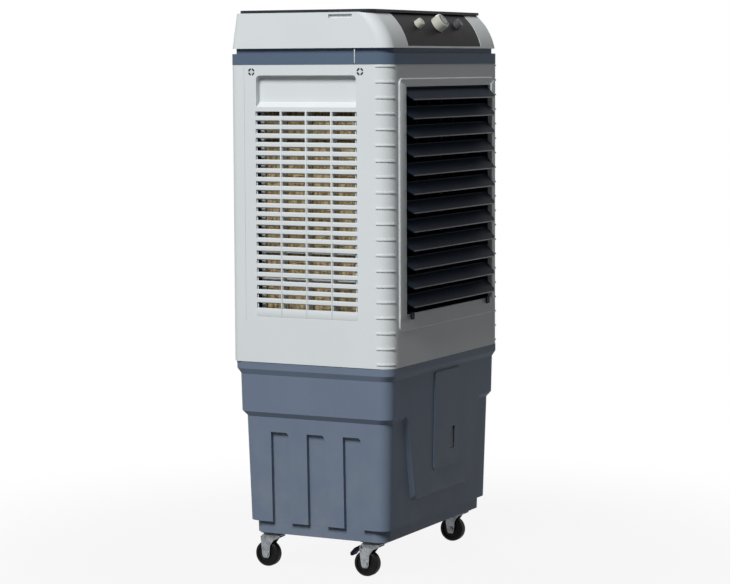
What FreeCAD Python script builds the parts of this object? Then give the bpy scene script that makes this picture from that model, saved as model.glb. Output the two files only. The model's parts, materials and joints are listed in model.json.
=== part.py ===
"""Evaporative air cooler: a floor-standing cabinet on four casters, 1.2 m tall.

Water lies in the moulded tank at the foot. A pump lifts it to a tray at the top, from where it runs down
three pads of fibre behind the side and rear grilles. A fan draws air in through the wet pads and drives it
out at the front, past six upright vanes that swing from side to side and twelve level louvers that tilt.

Every size below is in millimetres or degrees. X is the width, the front faces -Y, Z is up, and the casters
stand on Z = 0. Pieces that stay put are drawn about the middle of the cabinet. Pieces that move are drawn
about their own pivot.
"""

import FreeCAD, Part
import math
import os
from types import SimpleNamespace

import Sketcher
from FreeCAD import Placement, Rotation, Vector

SIZES = {
    # Cabinet
    "body_width": 551.0,
    "body_depth": 383.0,
    "front_radius": 34.0,
    "rear_radius": 20.0,
    "wall": 3.0,
    "fit_gap": 0.3,
    "running_gap": 0.05,
    "origin_shift": 6.7,
    # Heights of the stacked pieces
    "caster_height": 79.0,
    "tank_height": 375.0,
    "shell_height": 632.0,
    "collar_band": 23.0,
    "collar_neck": 11.0,
    "hood_height": 74.0,
    "lid_thickness": 6.0,
    # Tank
    "tank_wall": 3.5,
    "skirt_height": 25.0,
    "skirt_inset": 33.0,
    "lower_inset": 23.0,
    "waist_drop": 109.0,
    "waist_inset": 17.0,
    "waist_slope": 11.0,
    "upper_inset": 9.0,
    "rim_drop": 28.0,
    "rim_inset": 1.5,
    "tank_radius": 25.0,
    "lip_height": 12.0,
    "flute_width": 43.0,
    "flute_pitch": 87.0,
    "flute_middle": -1.5,
    "flute_height": 225.0,
    "flute_round": 12.0,
    "flute_lean": 5.5,
    "tongue_half": 134.0,
    "tongue_shoulder": 180.0,
    "tongue_top": 236.0,
    "tongue_drop": 182.0,
    "tongue_flank": 14.0,
    "strip_left": -53.0,
    "strip_right": 76.0,
    "strip_height": 214.0,
    "window_left": 27.0,
    "window_width": 23.0,
    "window_height": 49.0,
    "drain_radius": 9.0,
    "drain_across": 60.0,
    # Cabinet panels
    "seam_back": 52.5,
    "panel_low": 87.0,
    "panel_top_gap": 3.0,
    "panel_rear_inset": 36.5,
    "rear_panel_inset": 39.5,
    "ledge_width": 24.5,
    "field_low": 30.0,
    "slat_count": 22,
    "slat_pitch": 18.4,
    "slat_face": 6.3,
    "slat_depth": 11.0,
    "slat_drop": 3.0,
    "bar_width": 5.5,
    "pocket_height": 66.6,
    "pocket_depth": 14.0,
    "pocket_round": 8.0,
    "boss_radius": 8.0,
    "boss_rib": 2.4,
    "pad_thickness": 30.0,
    "pad_inset": 24.0,
    "retainer_thickness": 6.0,
    "retainer_bar": 10.0,
    "rim_depth": 40.0,
    # Air outlet
    "opening_half": 215.0,
    "opening_low": 109.5,
    "opening_height": 476.0,
    "border_proud": 3.0,
    "border_width": 26.0,
    "bead_count": 20,
    "bead_pitch": 32.6,
    "bead_height": 3.0,
    "bead_proud": 2.0,
    "bead_first": 7.5,
    "bead_reach": 21.0,
    "insert_wall": 4.0,
    "insert_depth": 72.5,
    "insert_over": 10.5,
    "louver_count": 12,
    "louver_pitch": 39.44,
    "louver_half": 213.0,
    "louver_reach": 35.4,
    "louver_thickness": 2.5,
    "louver_corner": 9.0,
    "louver_tilt": 45.0,
    "louver_setback": 6.5,
    "louver_drop": 2.8,
    "louver_pin": 2.0,
    "link_arm": 14.0,
    "link_lead": 15.0,
    "link_pin": 1.5,
    "link_width": 8.0,
    "link_thickness": 3.0,
    "link_end": 4.8,
    "vane_count": 6,
    "vane_pitch": 61.0,
    "vane_chord": 44.0,
    "vane_back": 51.5,
    "vane_thickness": 2.5,
    "vane_pin": 2.5,
    "vane_head": 12.0,
    # Fan
    "ring_radius": 190.0,
    "ring_length": 57.0,
    "fan_radius": 184.0,
    "fan_depth": 40.0,
    "hub_radius": 45.0,
    "blade_count": 5,
    "root_chord": 60.0,
    "tip_chord": 118.0,
    "root_pitch": 40.0,
    "tip_pitch": 20.0,
    "blade_camber": 7.0,
    "blade_thickness": 3.0,
    "shaft_radius": 5.0,
    "motor_radius": 45.0,
    "motor_length": 80.0,
    "arm_width": 14.0,
    "swing_motor_radius": 25.0,
    "swing_motor_height": 22.0,
    # Water
    "pump_width": 56.0,
    "pump_height": 62.0,
    "pipe_radius": 8.0,
    "pipe_wall": 2.0,
    "pipe_side_gap": 23.5,
    "pipe_rear_gap": 19.5,
    "tray_wall": 2.5,
    "tray_height": 22.0,
    # Hood, lid and controls
    "neck_inset": 8.5,
    "fascia_radius": 128.4,
    "fascia_back": 129.2,
    "fascia_down": 26.4,
    "hood_slant": 12.0,
    "hood_radius": 28.0,
    "control_half": 182.0,
    "control_low": 4.0,
    "knob_pitch": 96.0,
    "knob_height": 49.0,
    "small_knob_radius": 10.5,
    "small_knob_length": 14.0,
    "large_knob_radius": 18.0,
    "large_knob_length": 20.0,
    "knob_shaft": 3.0,
    "lid_front_inset": 44.5,
    "lid_rear_inset": 20.5,
    "lid_radius": 25.0,
    "hinge_across": 150.0,
    "hinge_length": 40.0,
    "hinge_pin": 1.4,
    # Casters
    "caster_side_inset": 62.5,
    "caster_front_inset": 73.5,
    "caster_rear_inset": 67.5,
    "caster_plate": 46.0,
    "plate_thickness": 2.5,
    "raceway_radius": 25.0,
    "raceway_height": 4.0,
    "fork_gauge": 2.0,
    "wheel_radius": 28.0,
    "wheel_width": 20.0,
    "caster_trail": 16.0,
    "axle_radius": 4.0,
    "kingpin_radius": 4.0,
    "gland_radius": 8.0,
    "screw_radius": 1.5,
}


class Size(float):
    """A length or an angle that remembers the sheet expression it was worked out with."""

    def __new__(cls, amount, text):
        made = super().__new__(cls, amount)
        made.text = text
        return made

    def __add__(self, other):
        return Size(float(self) + float(other), f"({self.text} + {text_of(other)})")

    def __radd__(self, other):
        return Size(float(other) + float(self), f"({text_of(other)} + {self.text})")

    def __sub__(self, other):
        return Size(float(self) - float(other), f"({self.text} - {text_of(other)})")

    def __rsub__(self, other):
        return Size(float(other) - float(self), f"({text_of(other)} - {self.text})")

    def __mul__(self, other):
        return Size(float(self) * float(other), f"({self.text} * {text_of(other)})")

    def __rmul__(self, other):
        return self * other

    def __truediv__(self, other):
        return Size(float(self) / float(other), f"({self.text} / {text_of(other)})")

    def __neg__(self):
        return Size(-float(self), f"(0 - {self.text})")


def text_of(amount):
    """The sheet expression of a size, or a plain number as text."""
    return amount.text if isinstance(amount, Size) else repr(float(amount))


def root(amount):
    return Size(math.sqrt(amount), f"sqrt({text_of(amount)})")


def sine(angle):
    return Size(math.sin(math.radians(angle)), f"sin({text_of(angle)})")


def cosine(angle):
    return Size(math.cos(math.radians(angle)), f"cos({text_of(angle)})")


def write_sheet(document):
    """The spreadsheet of driving sizes: a name, a number and an alias on each row."""
    sheet = document.addObject("Spreadsheet::Sheet", "Sizes")
    for row, (name, amount) in enumerate(SIZES.items(), start=1):
        sheet.set(f"A{row}", name)
        sheet.set(f"B{row}", str(amount))
        sheet.setAlias(f"B{row}", name)
    document.recompute()
    return SimpleNamespace(**{name: Size(amount, f"Sizes.{name}") for name, amount in SIZES.items()})


doc = FreeCAD.newDocument("EvaporativeCooler")
S = write_sheet(doc)
NODES = {}

# Places that several pieces share
HALF = S.body_width / 2
FRONT = -(S.body_depth / 2)
REAR = S.body_depth / 2
TANK_BOTTOM = S.caster_height
TANK_TOP = TANK_BOTTOM + S.tank_height
SHELL_TOP = TANK_TOP + S.shell_height
COLLAR_SEAM = SHELL_TOP + S.collar_band
COLLAR_TOP = COLLAR_SEAM + S.collar_neck
HOOD_TOP = COLLAR_TOP + S.hood_height
LID_TOP = HOOD_TOP + S.lid_thickness
LID_FRONT = FRONT + S.lid_front_inset
LID_REAR = REAR - S.lid_rear_inset
SEAM = FRONT + S.seam_back
PANEL_LOW = TANK_TOP + S.panel_low
PANEL_TOP = SHELL_TOP - S.panel_top_gap
PANEL_REAR = REAR - S.panel_rear_inset
REAR_PANEL_HALF = HALF - S.rear_panel_inset
OPENING_LOW = TANK_TOP + S.opening_low
OPENING_TOP = OPENING_LOW + S.opening_height
INSERT_FRONT = FRONT + S.wall
INSERT_REAR = INSERT_FRONT + S.insert_depth
INSERT_HALF = S.opening_half - 0.5
INSERT_LOW = OPENING_LOW - 7.5
INSERT_TOP = OPENING_TOP + S.insert_over
TUNNEL_GAP = S.insert_wall + S.fit_gap
TUNNEL_WALL = TUNNEL_GAP + S.wall
TUNNEL_REAR = INSERT_REAR + S.insert_wall
FAN_HEIGHT = (INSERT_LOW + INSERT_TOP) / 2
FAN_PLANE = TUNNEL_REAR + 27.0
RING_REAR = TUNNEL_REAR + S.ring_length
LOUVER_Y = FRONT + S.louver_setback
LOUVER_TOP = OPENING_TOP - S.louver_drop
VANE_Y = FRONT + S.vane_back
VANE_TOP = INSERT_TOP - S.vane_head
FLOOR_Z = TANK_BOTTOM + S.tank_wall


# Building blocks


def bind(thing, name, amount):
    thing.setExpression(name, text_of(amount))


def place(thing, x=0.0, y=0.0, z=0.0, turned=None):
    """Set a piece down at a point, with each coordinate bound to the sheet."""
    thing.Placement = Placement(Vector(x, y, z), turned or Rotation())
    for axis, amount in zip("xyz", (x, y, z)):
        bind(thing, f"Placement.Base.{axis}", amount)
    return thing


def node(name, thing, x=0.0, y=0.0, z=0.0, turned=None):
    """Name a finished piece and set it down, moved back so that the cooler stands about its own middle."""
    place(thing, x, S.origin_shift + y, z, turned)
    thing.Label = name
    NODES[name] = thing
    return thing


def box(name, across, along, upward):
    """A block between two places on each axis."""
    made = doc.addObject("Part::Box", name)
    for side, (low, high) in zip(("Length", "Width", "Height"), (across, along, upward)):
        bind(made, side, high - low)
    return place(made, across[0], along[0], upward[0])


DIRECTIONS = {"x": Vector(1, 0, 0), "y": Vector(0, 1, 0), "z": Vector(0, 0, 1)}


def rod(name, radius, start, length, way="z"):
    """A round bar from a start point along one axis."""
    made = doc.addObject("Part::Cylinder", name)
    bind(made, "Radius", radius)
    bind(made, "Height", length)
    return place(made, *start, turned=Rotation(DIRECTIONS["z"], DIRECTIONS[way]))


def fuse(name, *pieces):
    made = doc.addObject("Part::MultiFuse", name)
    made.Shapes = list(pieces)
    made.Refine = True
    return made


def cut(name, base, *tools):
    made = doc.addObject("Part::Cut", name)
    made.Base = base
    made.Tool = tools[0] if len(tools) == 1 else fuse(f"{name}_tools", *tools)
    made.Refine = True
    return made


def common(name, *pieces):
    made = doc.addObject("Part::MultiCommon", name)
    made.Shapes = list(pieces)
    made.Refine = True
    return made


def group(name, *pieces):
    """Separate solids that share one node."""
    made = doc.addObject("Part::Compound", name)
    made.Links = list(pieces)
    return made


def mirrored(name, source):
    """The piece for the other side of the cabinet."""
    made = doc.addObject("Part::Mirroring", name)
    made.Source = source
    made.Normal = Vector(1, 0, 0)
    made.Base = Vector(0, 0, 0)
    return made


def draw(sketch, corners):
    """Draw a closed outline from corners (x, y) or (x, y, radius), each place bound to the sheet.

    A corner with a radius becomes an arc that touches both its sides, and keeps its point as construction.
    """
    points = [Vector(corner[0], corner[1], 0) for corner in corners]
    radii = [corner[2] if len(corner) > 2 else 0 for corner in corners]
    count = len(points)
    enter, leave, middles = [], [], []
    for index, point in enumerate(points):
        back = (points[index - 1] - point).normalize()
        ahead = (points[(index + 1) % count] - point).normalize()
        half = math.acos(max(-1.0, min(1.0, back.dot(ahead)))) / 2
        reach = radii[index] / math.tan(half)
        enter.append(point + back * reach)
        leave.append(point + ahead * reach)
        shift = (back + ahead).normalize() * (radii[index] / math.sin(half)) if radii[index] else Vector()
        middles.append(point + shift)
    sides = [
        sketch.addGeometry(Part.LineSegment(leave[index], enter[(index + 1) % count]), False)
        for index in range(count)
    ]
    for index, corner in enumerate(corners):
        before, after = sides[index - 1], sides[index]
        if radii[index]:
            held = draw_arc(sketch, points[index], middles[index], enter[index], leave[index], before,
                            after, corner[2])
        else:
            sketch.addConstraint(Sketcher.Constraint("Coincident", before, 2, after, 1))
            held = after
        for kind, amount in (("DistanceX", corner[0]), ("DistanceY", corner[1])):
            number = sketch.addConstraint(Sketcher.Constraint(kind, -1, 1, held, 1, float(amount)))
            bind(sketch, f"Constraints[{number}]", amount)


def draw_arc(sketch, point, middle, start, end, before, after, radius):
    """Round one corner with an arc, and give back the construction point that marks the corner."""
    turns_left = (start - middle).cross(end - middle).z > 0
    first, second = (start, end) if turns_left else (end, start)
    low = math.atan2(first.y - middle.y, first.x - middle.x)
    high = math.atan2(second.y - middle.y, second.x - middle.x)
    if high < low:
        high += 2 * math.pi
    circle = Part.Circle(middle, Vector(0, 0, 1), float(radius))
    arc = sketch.addGeometry(Part.ArcOfCircle(circle, low, high), False)
    mark = sketch.addGeometry(Part.Point(point), True)
    arc_start, arc_end = (1, 2) if turns_left else (2, 1)
    sketch.addConstraint([
        Sketcher.Constraint("Tangent", before, 2, arc, arc_start),
        Sketcher.Constraint("Tangent", arc, arc_end, after, 1),
        Sketcher.Constraint("PointOnObject", mark, 1, before),
        Sketcher.Constraint("PointOnObject", mark, 1, after),
    ])
    number = sketch.addConstraint(Sketcher.Constraint("Radius", arc, float(radius)))
    bind(sketch, f"Constraints[{number}]", radius)
    return mark


# A sketch on plane XZ has its x along X and its y along Z. On plane YZ they lie along Y and Z.
PLANES = {
    "XY": (Rotation(), "z"),
    "XZ": (Rotation(Vector(1, 0, 0), 90), "y"),
    "YZ": (Rotation(Vector(1, 1, 1), 120), "x"),
}


def profile(name, plane, at, corners):
    """A free sketch that stands across one axis at a place along it."""
    made = doc.addObject("Sketcher::SketchObject", name)
    draw(made, corners)
    turned, way = PLANES[plane]
    return place(made, turned=turned, **{way: at})


def prism(name, plane, start, end, corners):
    """An outline pushed from one place to another along the axis that its plane stands across."""
    made = doc.addObject("Part::Extrusion", name)
    made.Base = profile(f"{name}_outline", plane, start, corners)
    made.DirMode = "Custom"
    made.Dir = DIRECTIONS[PLANES[plane][1]]
    made.Solid = True
    bind(made, "LengthFwd", end - start)
    return made


def loft(name, sections, smooth=False):
    made = doc.addObject("Part::Loft", name)
    made.Sections = sections
    made.Solid = True
    made.Ruled = not smooth
    return made


def plan(inset, front_radius=None, rear_radius=None):
    """The cabinet's outline seen from above, set in by some amount."""
    front_radius = S.front_radius - inset if front_radius is None else front_radius
    rear_radius = S.rear_radius - inset if rear_radius is None else rear_radius
    return [
        (-HALF + inset, FRONT + inset, front_radius),
        (HALF - inset, FRONT + inset, front_radius),
        (HALF - inset, REAR - inset, rear_radius),
        (-HALF + inset, REAR - inset, rear_radius),
    ]


def slab(name, inset, low, high, *radii):
    """A slice of the cabinet's outline between two heights."""
    return prism(name, "XY", low, high, plan(inset, *radii))


def rectangle(low, high, floor, ceiling, radius=0):
    corners = [(low, floor), (high, floor), (high, ceiling), (low, ceiling)]
    return [(*corner, radius) for corner in corners] if radius else corners


class Bench:
    """One PartDesign body, with the few features that its pieces are made by."""

    def __init__(self, name):
        self.body = doc.addObject("PartDesign::Body", name)
        self.name = name

    def origin(self, role):
        return next(part for part in self.body.Origin.OriginFeatures if part.Role == role)

    def sketch(self, plane, at, corners=(), circles=()):
        """A sketch on an origin plane, moved along its axis. Circles are (x, y, radius)."""
        made = self.body.newObject("Sketcher::SketchObject", f"{self.name}_sketch")
        made.AttachmentSupport = [(self.origin(f"{plane}_Plane"), "")]
        made.MapMode = "FlatFace"
        bind(made, "AttachmentOffset.Base.z", -at if plane == "XZ" else at)
        if corners:
            draw(made, corners)
        for x, y, radius in circles:
            circle = made.addGeometry(Part.Circle(Vector(x, y, 0), Vector(0, 0, 1), float(radius)), False)
            places = (("DistanceX", x), ("DistanceY", y))
            for kind, amount in places:
                number = made.addConstraint(Sketcher.Constraint(kind, -1, 1, circle, 3, float(amount)))
                bind(made, f"Constraints[{number}]", amount)
            number = made.addConstraint(Sketcher.Constraint("Radius", circle, float(radius)))
            bind(made, f"Constraints[{number}]", radius)
        return made

    def pad(self, sketch, length, backwards=False):
        made = self.body.newObject("PartDesign::Pad", f"{self.name}_pad")
        made.Profile = sketch
        made.Reversed = backwards
        bind(made, "Length", length)
        return made

    def pocket(self, sketch, length, backwards=False):
        made = self.body.newObject("PartDesign::Pocket", f"{self.name}_pocket")
        made.Profile = sketch
        made.Reversed = backwards
        bind(made, "Length", length)
        return made

    def revolve(self, sketch):
        made = self.body.newObject("PartDesign::Revolution", f"{self.name}_turned")
        made.Profile = sketch
        made.ReferenceAxis = (sketch, ["V_Axis"])
        made.Angle = 360
        return made

    def row(self, feature, plane, pitch, count, backwards=False):
        """Repeat a feature along the axis that a plane stands across."""
        made = self.body.newObject("PartDesign::LinearPattern", f"{self.name}_row")
        made.Originals = [feature]
        made.Direction = (self.origin(f"{plane}_Plane"), [""])
        made.Reversed = backwards
        bind(made, "Length", pitch * (count - 1))
        bind(made, "Occurrences", count)
        self.body.Tip = made
        return made

    def ring(self, feature, axis, count):
        """Repeat a feature round an axis of the body."""
        made = self.body.newObject("PartDesign::PolarPattern", f"{self.name}_ring")
        made.Originals = [feature]
        made.Axis = (self.origin(f"{axis}_Axis"), [""])
        made.Angle = 360
        bind(made, "Occurrences", count)
        self.body.Tip = made
        return made


# Tank


def tank_stack(name, wall, base, top):
    """The tank's tapering sides: a stack of outlines that steps out at the skirt, the waist and the rim."""
    skirt_top = TANK_BOTTOM + S.skirt_height
    waist = TANK_TOP - S.waist_drop
    rim = TANK_TOP - S.rim_drop
    lower = S.tank_radius - wall
    upper = S.front_radius - S.upper_inset - wall
    levels = [
        (base, S.skirt_inset + 0.5, lower),
        (skirt_top + wall, S.skirt_inset, lower),
        (skirt_top + wall + 2.0, S.lower_inset, lower),
        (waist + wall - S.waist_slope, S.waist_inset, lower),
        (waist + wall, S.upper_inset, upper),
        (rim + wall, S.upper_inset - 1.5, upper),
        (rim + wall + 12.0, S.rim_inset, upper),
        (top, S.rim_inset, upper),
    ]
    sections = [
        profile(f"{name}_{index}", "XY", height, plan(inset + wall, radius, radius))
        for index, (height, inset, radius) in enumerate(levels)
    ]
    return loft(name, sections)


def flutes(name, grow):
    """Three upright hollows in the left side, open at the skirt and sloped at the top."""
    outer = -HALF - 5.0
    floor = -HALF + S.skirt_inset + grow
    low = TANK_BOTTOM + S.skirt_height - 10.0 - grow
    top = TANK_BOTTOM + S.flute_height + grow
    corners = [(outer, low), (floor, low), (floor - S.flute_lean, top - 8.0),
               (floor - S.flute_lean - 12.0, top), (outer, top)]
    made = []
    for step in (-1, 0, 1):
        middle = S.flute_middle + S.flute_pitch * step
        reach = S.flute_width / 2 + grow
        wedge = prism(f"{name}_wedge_{step + 1}", "XZ", middle - reach, middle + reach, corners)
        face = prism(f"{name}_face_{step + 1}", "YZ", outer, floor + 1.0, [
            (middle - reach, low - 1.0), (middle + reach, low - 1.0), (middle + reach, top),
            (middle - reach, top, S.flute_round)])
        made.append(common(f"{name}_{step + 1}", wedge, face))
    return group(name, *made)


def wall_relief(name, corners, foot, proud):
    """A shape that stands proud of the tank's front and leans with it. Its flanks spread to its foot."""
    low = TANK_TOP - S.waist_drop - S.tongue_drop - 5.0
    slope = profile(f"{name}_low", "XY", low, plan(S.upper_inset + 4.0 - proud, S.tank_radius,
                                                   S.tank_radius))
    head = profile(f"{name}_high", "XY", TANK_TOP - S.rim_drop,
                   plan(S.upper_inset - 1.5 - proud, S.tank_radius, S.tank_radius))
    lean = loft(f"{name}_lean", [slope, head])
    face = FRONT + S.upper_inset
    head = prism(f"{name}_face", "XZ", FRONT - 5.0, face, corners)
    flank = loft(f"{name}_flank", [
        profile(f"{name}_edge", "XZ", face, corners), profile(f"{name}_foot", "XZ",
                                                              FRONT + S.lower_inset + 2.0, foot)])
    return common(name, lean, fuse(f"{name}_block", head, flank))


def tongue_outline(spread, fall):
    """The upper wall's tongue down the front, narrower at its foot and joined to the waist by curves."""
    waist = TANK_TOP - S.waist_drop
    low = waist - S.tongue_drop - spread
    high = waist + S.tank_wall - 0.5 - fall
    half, shoulder, wide = S.tongue_half + spread, S.tongue_shoulder + spread, S.tongue_top
    return [
        (-half, low, 16.0), (half, low, 16.0), (shoulder, high, 28.0), (wide, high),
        (wide, waist + 20.0), (-wide, waist + 20.0), (-wide, high), (-shoulder, high, 28.0)]


def tank_drain():
    """Where the drain passes the tank's rear wall: its middle line, height and the face it seats on."""
    return S.drain_across, TANK_BOTTOM + 56.0, REAR - S.lower_inset + 8.0


def water_tank():
    outer = tank_stack("tank_outside", 0.0, TANK_BOTTOM, TANK_TOP)
    hollow = tank_stack("tank_inside", S.tank_wall, FLOOR_Z, TANK_TOP + S.lip_height + 1.0)
    depth = (S.lower_inset + 2.0 - S.upper_inset) / (S.waist_inset - S.upper_inset)
    foot = tongue_outline(S.tongue_flank, S.waist_slope * depth - 0.5)
    tongue = wall_relief("tank_tongue", tongue_outline(0.0, 0.0), foot, 0.0)
    strip_top = TANK_TOP - S.rim_drop - 3.0
    edge = rectangle(S.strip_left, S.strip_right, strip_top - S.strip_height, strip_top, 6.0)
    strip = wall_relief("tank_strip", edge, edge, 3.0)
    lip = slab("tank_lip", S.wall + S.fit_gap, TANK_TOP - 4.0, TANK_TOP + S.lip_height)
    across, height, face = tank_drain()
    boss = rod("drain_boss", S.drain_radius + 5.0, (across, face - 18.0, height), 18.0, "y")
    bore = rod("drain_bore", S.drain_radius, (across, face - 30.0, height), 40.0, "y")
    left = flutes("left_flutes", 0.0)
    inner_left = flutes("left_flute_backs", S.tank_wall)
    keep = cut("tank_hollow", hollow, inner_left, mirrored("right_flute_backs", inner_left))
    full = cut("tank_fluted", fuse("tank_full", outer, tongue, strip, lip), left,
               mirrored("right_flutes", left))
    shell = cut("tank_open", full, keep)
    slot = box("window_slot", (S.window_left, S.window_left + S.window_width),
               (FRONT - 1.0, FRONT + 40.0), (window_low(), window_low() + S.window_height))
    return node("water_tank", cut("tank_body", fuse("tank_with_boss", shell, boss), slot, bore))


def window_low():
    return TANK_TOP - S.waist_drop - S.window_height - 51.0


def level_window():
    """The clear strip in the tank's raised panel that shows the water's height."""
    gap = 0.1
    pane = box("window_pane", (S.window_left + gap, S.window_left + S.window_width - gap),
               (FRONT + S.upper_inset + 1.0, FRONT + S.lower_inset + S.tank_wall),
               (window_low() + gap, window_low() + S.window_height - gap))
    return node("level_window", group("window_set", pane))


def drain_plug():
    across, height, face = tank_drain()
    plug = Bench("plug")
    radius = S.drain_radius
    plug.revolve(plug.sketch("XZ", 0.0, [
        (0.0, -24.0), (radius - 0.1, -24.0), (radius - 0.1, 0.0), (radius + 4.0, 0.0),
        (radius + 4.0, 5.0), (radius - 2.0, 8.0), (0.0, 8.0)]))
    return node("drain_plug", plug.body, across, face, height, Rotation(Vector(1, 0, 0), -90))


# Cabinet shell


def wall_tube(name, outer, inner, low, high):
    return cut(name, slab(f"{name}_outer", outer, low, high),
               slab(f"{name}_inner", inner, low - 1.0, high + 1.0))


def corner_beads():
    """The stack of ribs that wraps the left front corner and ends on its curve, short of the front face."""
    bench = Bench("beads")
    proud = S.bead_proud
    sunk = S.wall - 0.1
    rear = SEAM - 18.0
    end = -HALF + S.front_radius + 0.5
    outline = [
        (-HALF - proud, rear), (-HALF - proud, FRONT - proud, S.front_radius + proud), (end, FRONT - proud),
        (end, FRONT + sunk), (-HALF + sunk, FRONT + sunk, S.front_radius - sunk), (-HALF + sunk, rear)]
    rib = bench.pad(bench.sketch("XY", TANK_TOP + S.bead_first, outline), S.bead_height)
    bench.row(rib, "XY", S.bead_pitch, S.bead_count)
    trim = box("bead_trim", (-HALF + S.bead_reach, end + 1.0), (FRONT - proud - 1.0, FRONT + 12.0),
               (TANK_TOP - 1.0, SHELL_TOP + 1.0))
    return cut("trimmed_beads", bench.body, trim)


def front_shell():
    """The front wall with its ribbed corners, the raised border and the tunnel that holds the outlet."""
    tube = wall_tube("front_tube", 0.0, S.wall, TANK_TOP, SHELL_TOP)
    ahead = box("front_side", (-HALF - 1.0, HALF + 1.0), (FRONT - 1.0, SEAM), (TANK_TOP, SHELL_TOP))
    half = common("front_wall", tube, ahead)
    lean = S.border_proud
    reach = S.opening_half + S.border_width
    low, high = OPENING_LOW - S.border_width - 9.5, OPENING_TOP + S.border_width - 7.5
    border = loft("outlet_border", [
        profile("border_foot", "XZ", FRONT + 1.0, rectangle(-reach, reach, low, high, 14.0)),
        profile("border_face", "XZ", FRONT - lean, rectangle(
            -reach + lean, reach - lean, low + lean, high - lean, 12.0))])
    tunnel = prism("tunnel_outer", "XZ", INSERT_FRONT - 1.0, TUNNEL_REAR, rectangle(
        -INSERT_HALF - TUNNEL_WALL, INSERT_HALF + TUNNEL_WALL, INSERT_LOW - TUNNEL_WALL, INSERT_TOP + TUNNEL_WALL))
    bore = prism("tunnel_inner", "XZ", INSERT_FRONT, TUNNEL_REAR + 1.0, rectangle(
        -INSERT_HALF - TUNNEL_GAP, INSERT_HALF + TUNNEL_GAP, INSERT_LOW - TUNNEL_GAP, INSERT_TOP + TUNNEL_GAP))
    opening = prism("outlet_opening", "XZ", FRONT - 10.0, INSERT_FRONT + 1.0, rectangle(
        -S.opening_half, S.opening_half, OPENING_LOW, OPENING_TOP, 3.0))
    drive = rod("drive_hole", S.vane_pin + 1.5, (driven_vane(), VANE_Y, INSERT_LOW - TUNNEL_WALL - 1.0),
                TUNNEL_WALL + 2.0)
    left = corner_beads()
    body = cut("front_body", fuse("front_solid", half, border, tunnel), bore, opening, drive)
    return node("front_shell", fuse("front_ribbed", body, left, mirrored("right_beads", left)))


def back_shell():
    """The rear wall, rear corners and bottom rail, with a ledge inside that the grille panels screw to."""
    tube = wall_tube("back_tube", 0.0, S.wall, TANK_TOP, SHELL_TOP)
    ledge = wall_tube("back_ledge", S.wall, S.wall + 3.0, PANEL_LOW - 8.0, SHELL_TOP)
    keep = box("back_side", (-HALF - 1.0, HALF + 1.0), (SEAM, REAR + 1.0), (TANK_TOP, SHELL_TOP))
    side = box("side_opening", (-HALF - 2.0, -HALF + S.wall), (SEAM - 1.0, PANEL_REAR + S.fit_gap),
               (PANEL_LOW, PANEL_TOP))
    side_through = box("side_through", (-HALF - 2.0, -HALF + 20.0),
                       (SEAM + S.ledge_width, PANEL_REAR - S.ledge_width),
                       (PANEL_LOW + 8.5, PANEL_TOP - 1.5))
    rear = box("rear_opening", (-REAR_PANEL_HALF - S.fit_gap, REAR_PANEL_HALF + S.fit_gap),
               (REAR - S.wall, REAR + 2.0),
               (PANEL_LOW, PANEL_TOP))
    reach = REAR_PANEL_HALF - S.ledge_width
    rear_through = box("rear_through", (-reach, reach), (REAR - 20.0, REAR + 2.0),
                       (PANEL_LOW + 8.5, PANEL_TOP - 1.5))
    gland_x, gland_y, gland_z = gland_place()
    gland = rod("gland_bore", S.gland_radius, (gland_x, gland_y - 20.0, gland_z), 30.0, "y")
    holes = [
        rod(f"ledge_hole_{index}", S.screw_radius, (-HALF + 1.0, along, PANEL_TOP - 12.0), 8.0, "x")
        for index, along in enumerate(side_screws())
    ]
    left = fuse("left_openings", side, side_through, *holes)
    solid = common("back_solid", fuse("back_walls", tube, ledge), keep)
    rear_holes = [
        rod(f"rear_hole_{index}", S.screw_radius, (across, REAR - 8.0, PANEL_TOP - 12.0), 8.0, "y")
        for index, across in enumerate(rear_screws())
    ]
    return node("back_shell", cut("back_body", solid, left, mirrored("right_openings", left), rear,
                                  rear_through,
                                  gland, *rear_holes))


def gland_place():
    return S.hinge_across, REAR, TANK_TOP + 46.0


def cord_gland():
    gland = Bench("gland")
    radius = S.gland_radius
    gland.revolve(gland.sketch("XZ", 0.0, [
        (0.0, -9.0), (radius - 0.1, -9.0), (radius - 0.1, 0.0), (radius + 3.0, 0.0),
        (radius + 3.0, 3.0), (radius - 2.5, 6.0), (radius - 4.5, 6.0), (radius - 4.5, 0.0), (0.0, 0.0)]))
    x, y, z = gland_place()
    return node("cord_gland", gland.body, x, y, z, Rotation(Vector(1, 0, 0), -90))


# Grille panels. Each is drawn with its outer face on Y = 0, seen from outside, and Z as it stands.


def side_screws():
    return SEAM + 17.8, PANEL_REAR - 17.5


def rear_screws():
    return -REAR_PANEL_HALF + 17.5, REAR_PANEL_HALF - 17.5


def panel_spans():
    """Left and right edges of the side panel as seen from outside, where the front is to the right."""
    return -PANEL_REAR, -SEAM


def field_heights():
    low = PANEL_LOW + S.field_low
    return low, low + S.slat_pitch * S.slat_count + (S.slat_pitch - S.slat_face)


def slats(name, left, right):
    """A column of sloping slats, padded once and repeated upwards."""
    bench = Bench(name)
    low = field_heights()[0] + S.slat_pitch - S.slat_face
    section = [(0.0, low), (S.slat_depth, low - S.slat_drop), (S.slat_depth, low - S.slat_drop + 4.5),
               (0.0, low + S.slat_face)]
    slat = bench.pad(bench.sketch("YZ", left, section), right - left)
    bench.row(slat, "XY", S.slat_pitch, S.slat_count)
    return bench.body


def pad_outline(left, right):
    """The pad and its retainer lie just inside the grille field."""
    return left + 29.0, right - 32.0, PANEL_LOW + 12.0, PANEL_TOP - 5.0


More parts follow.
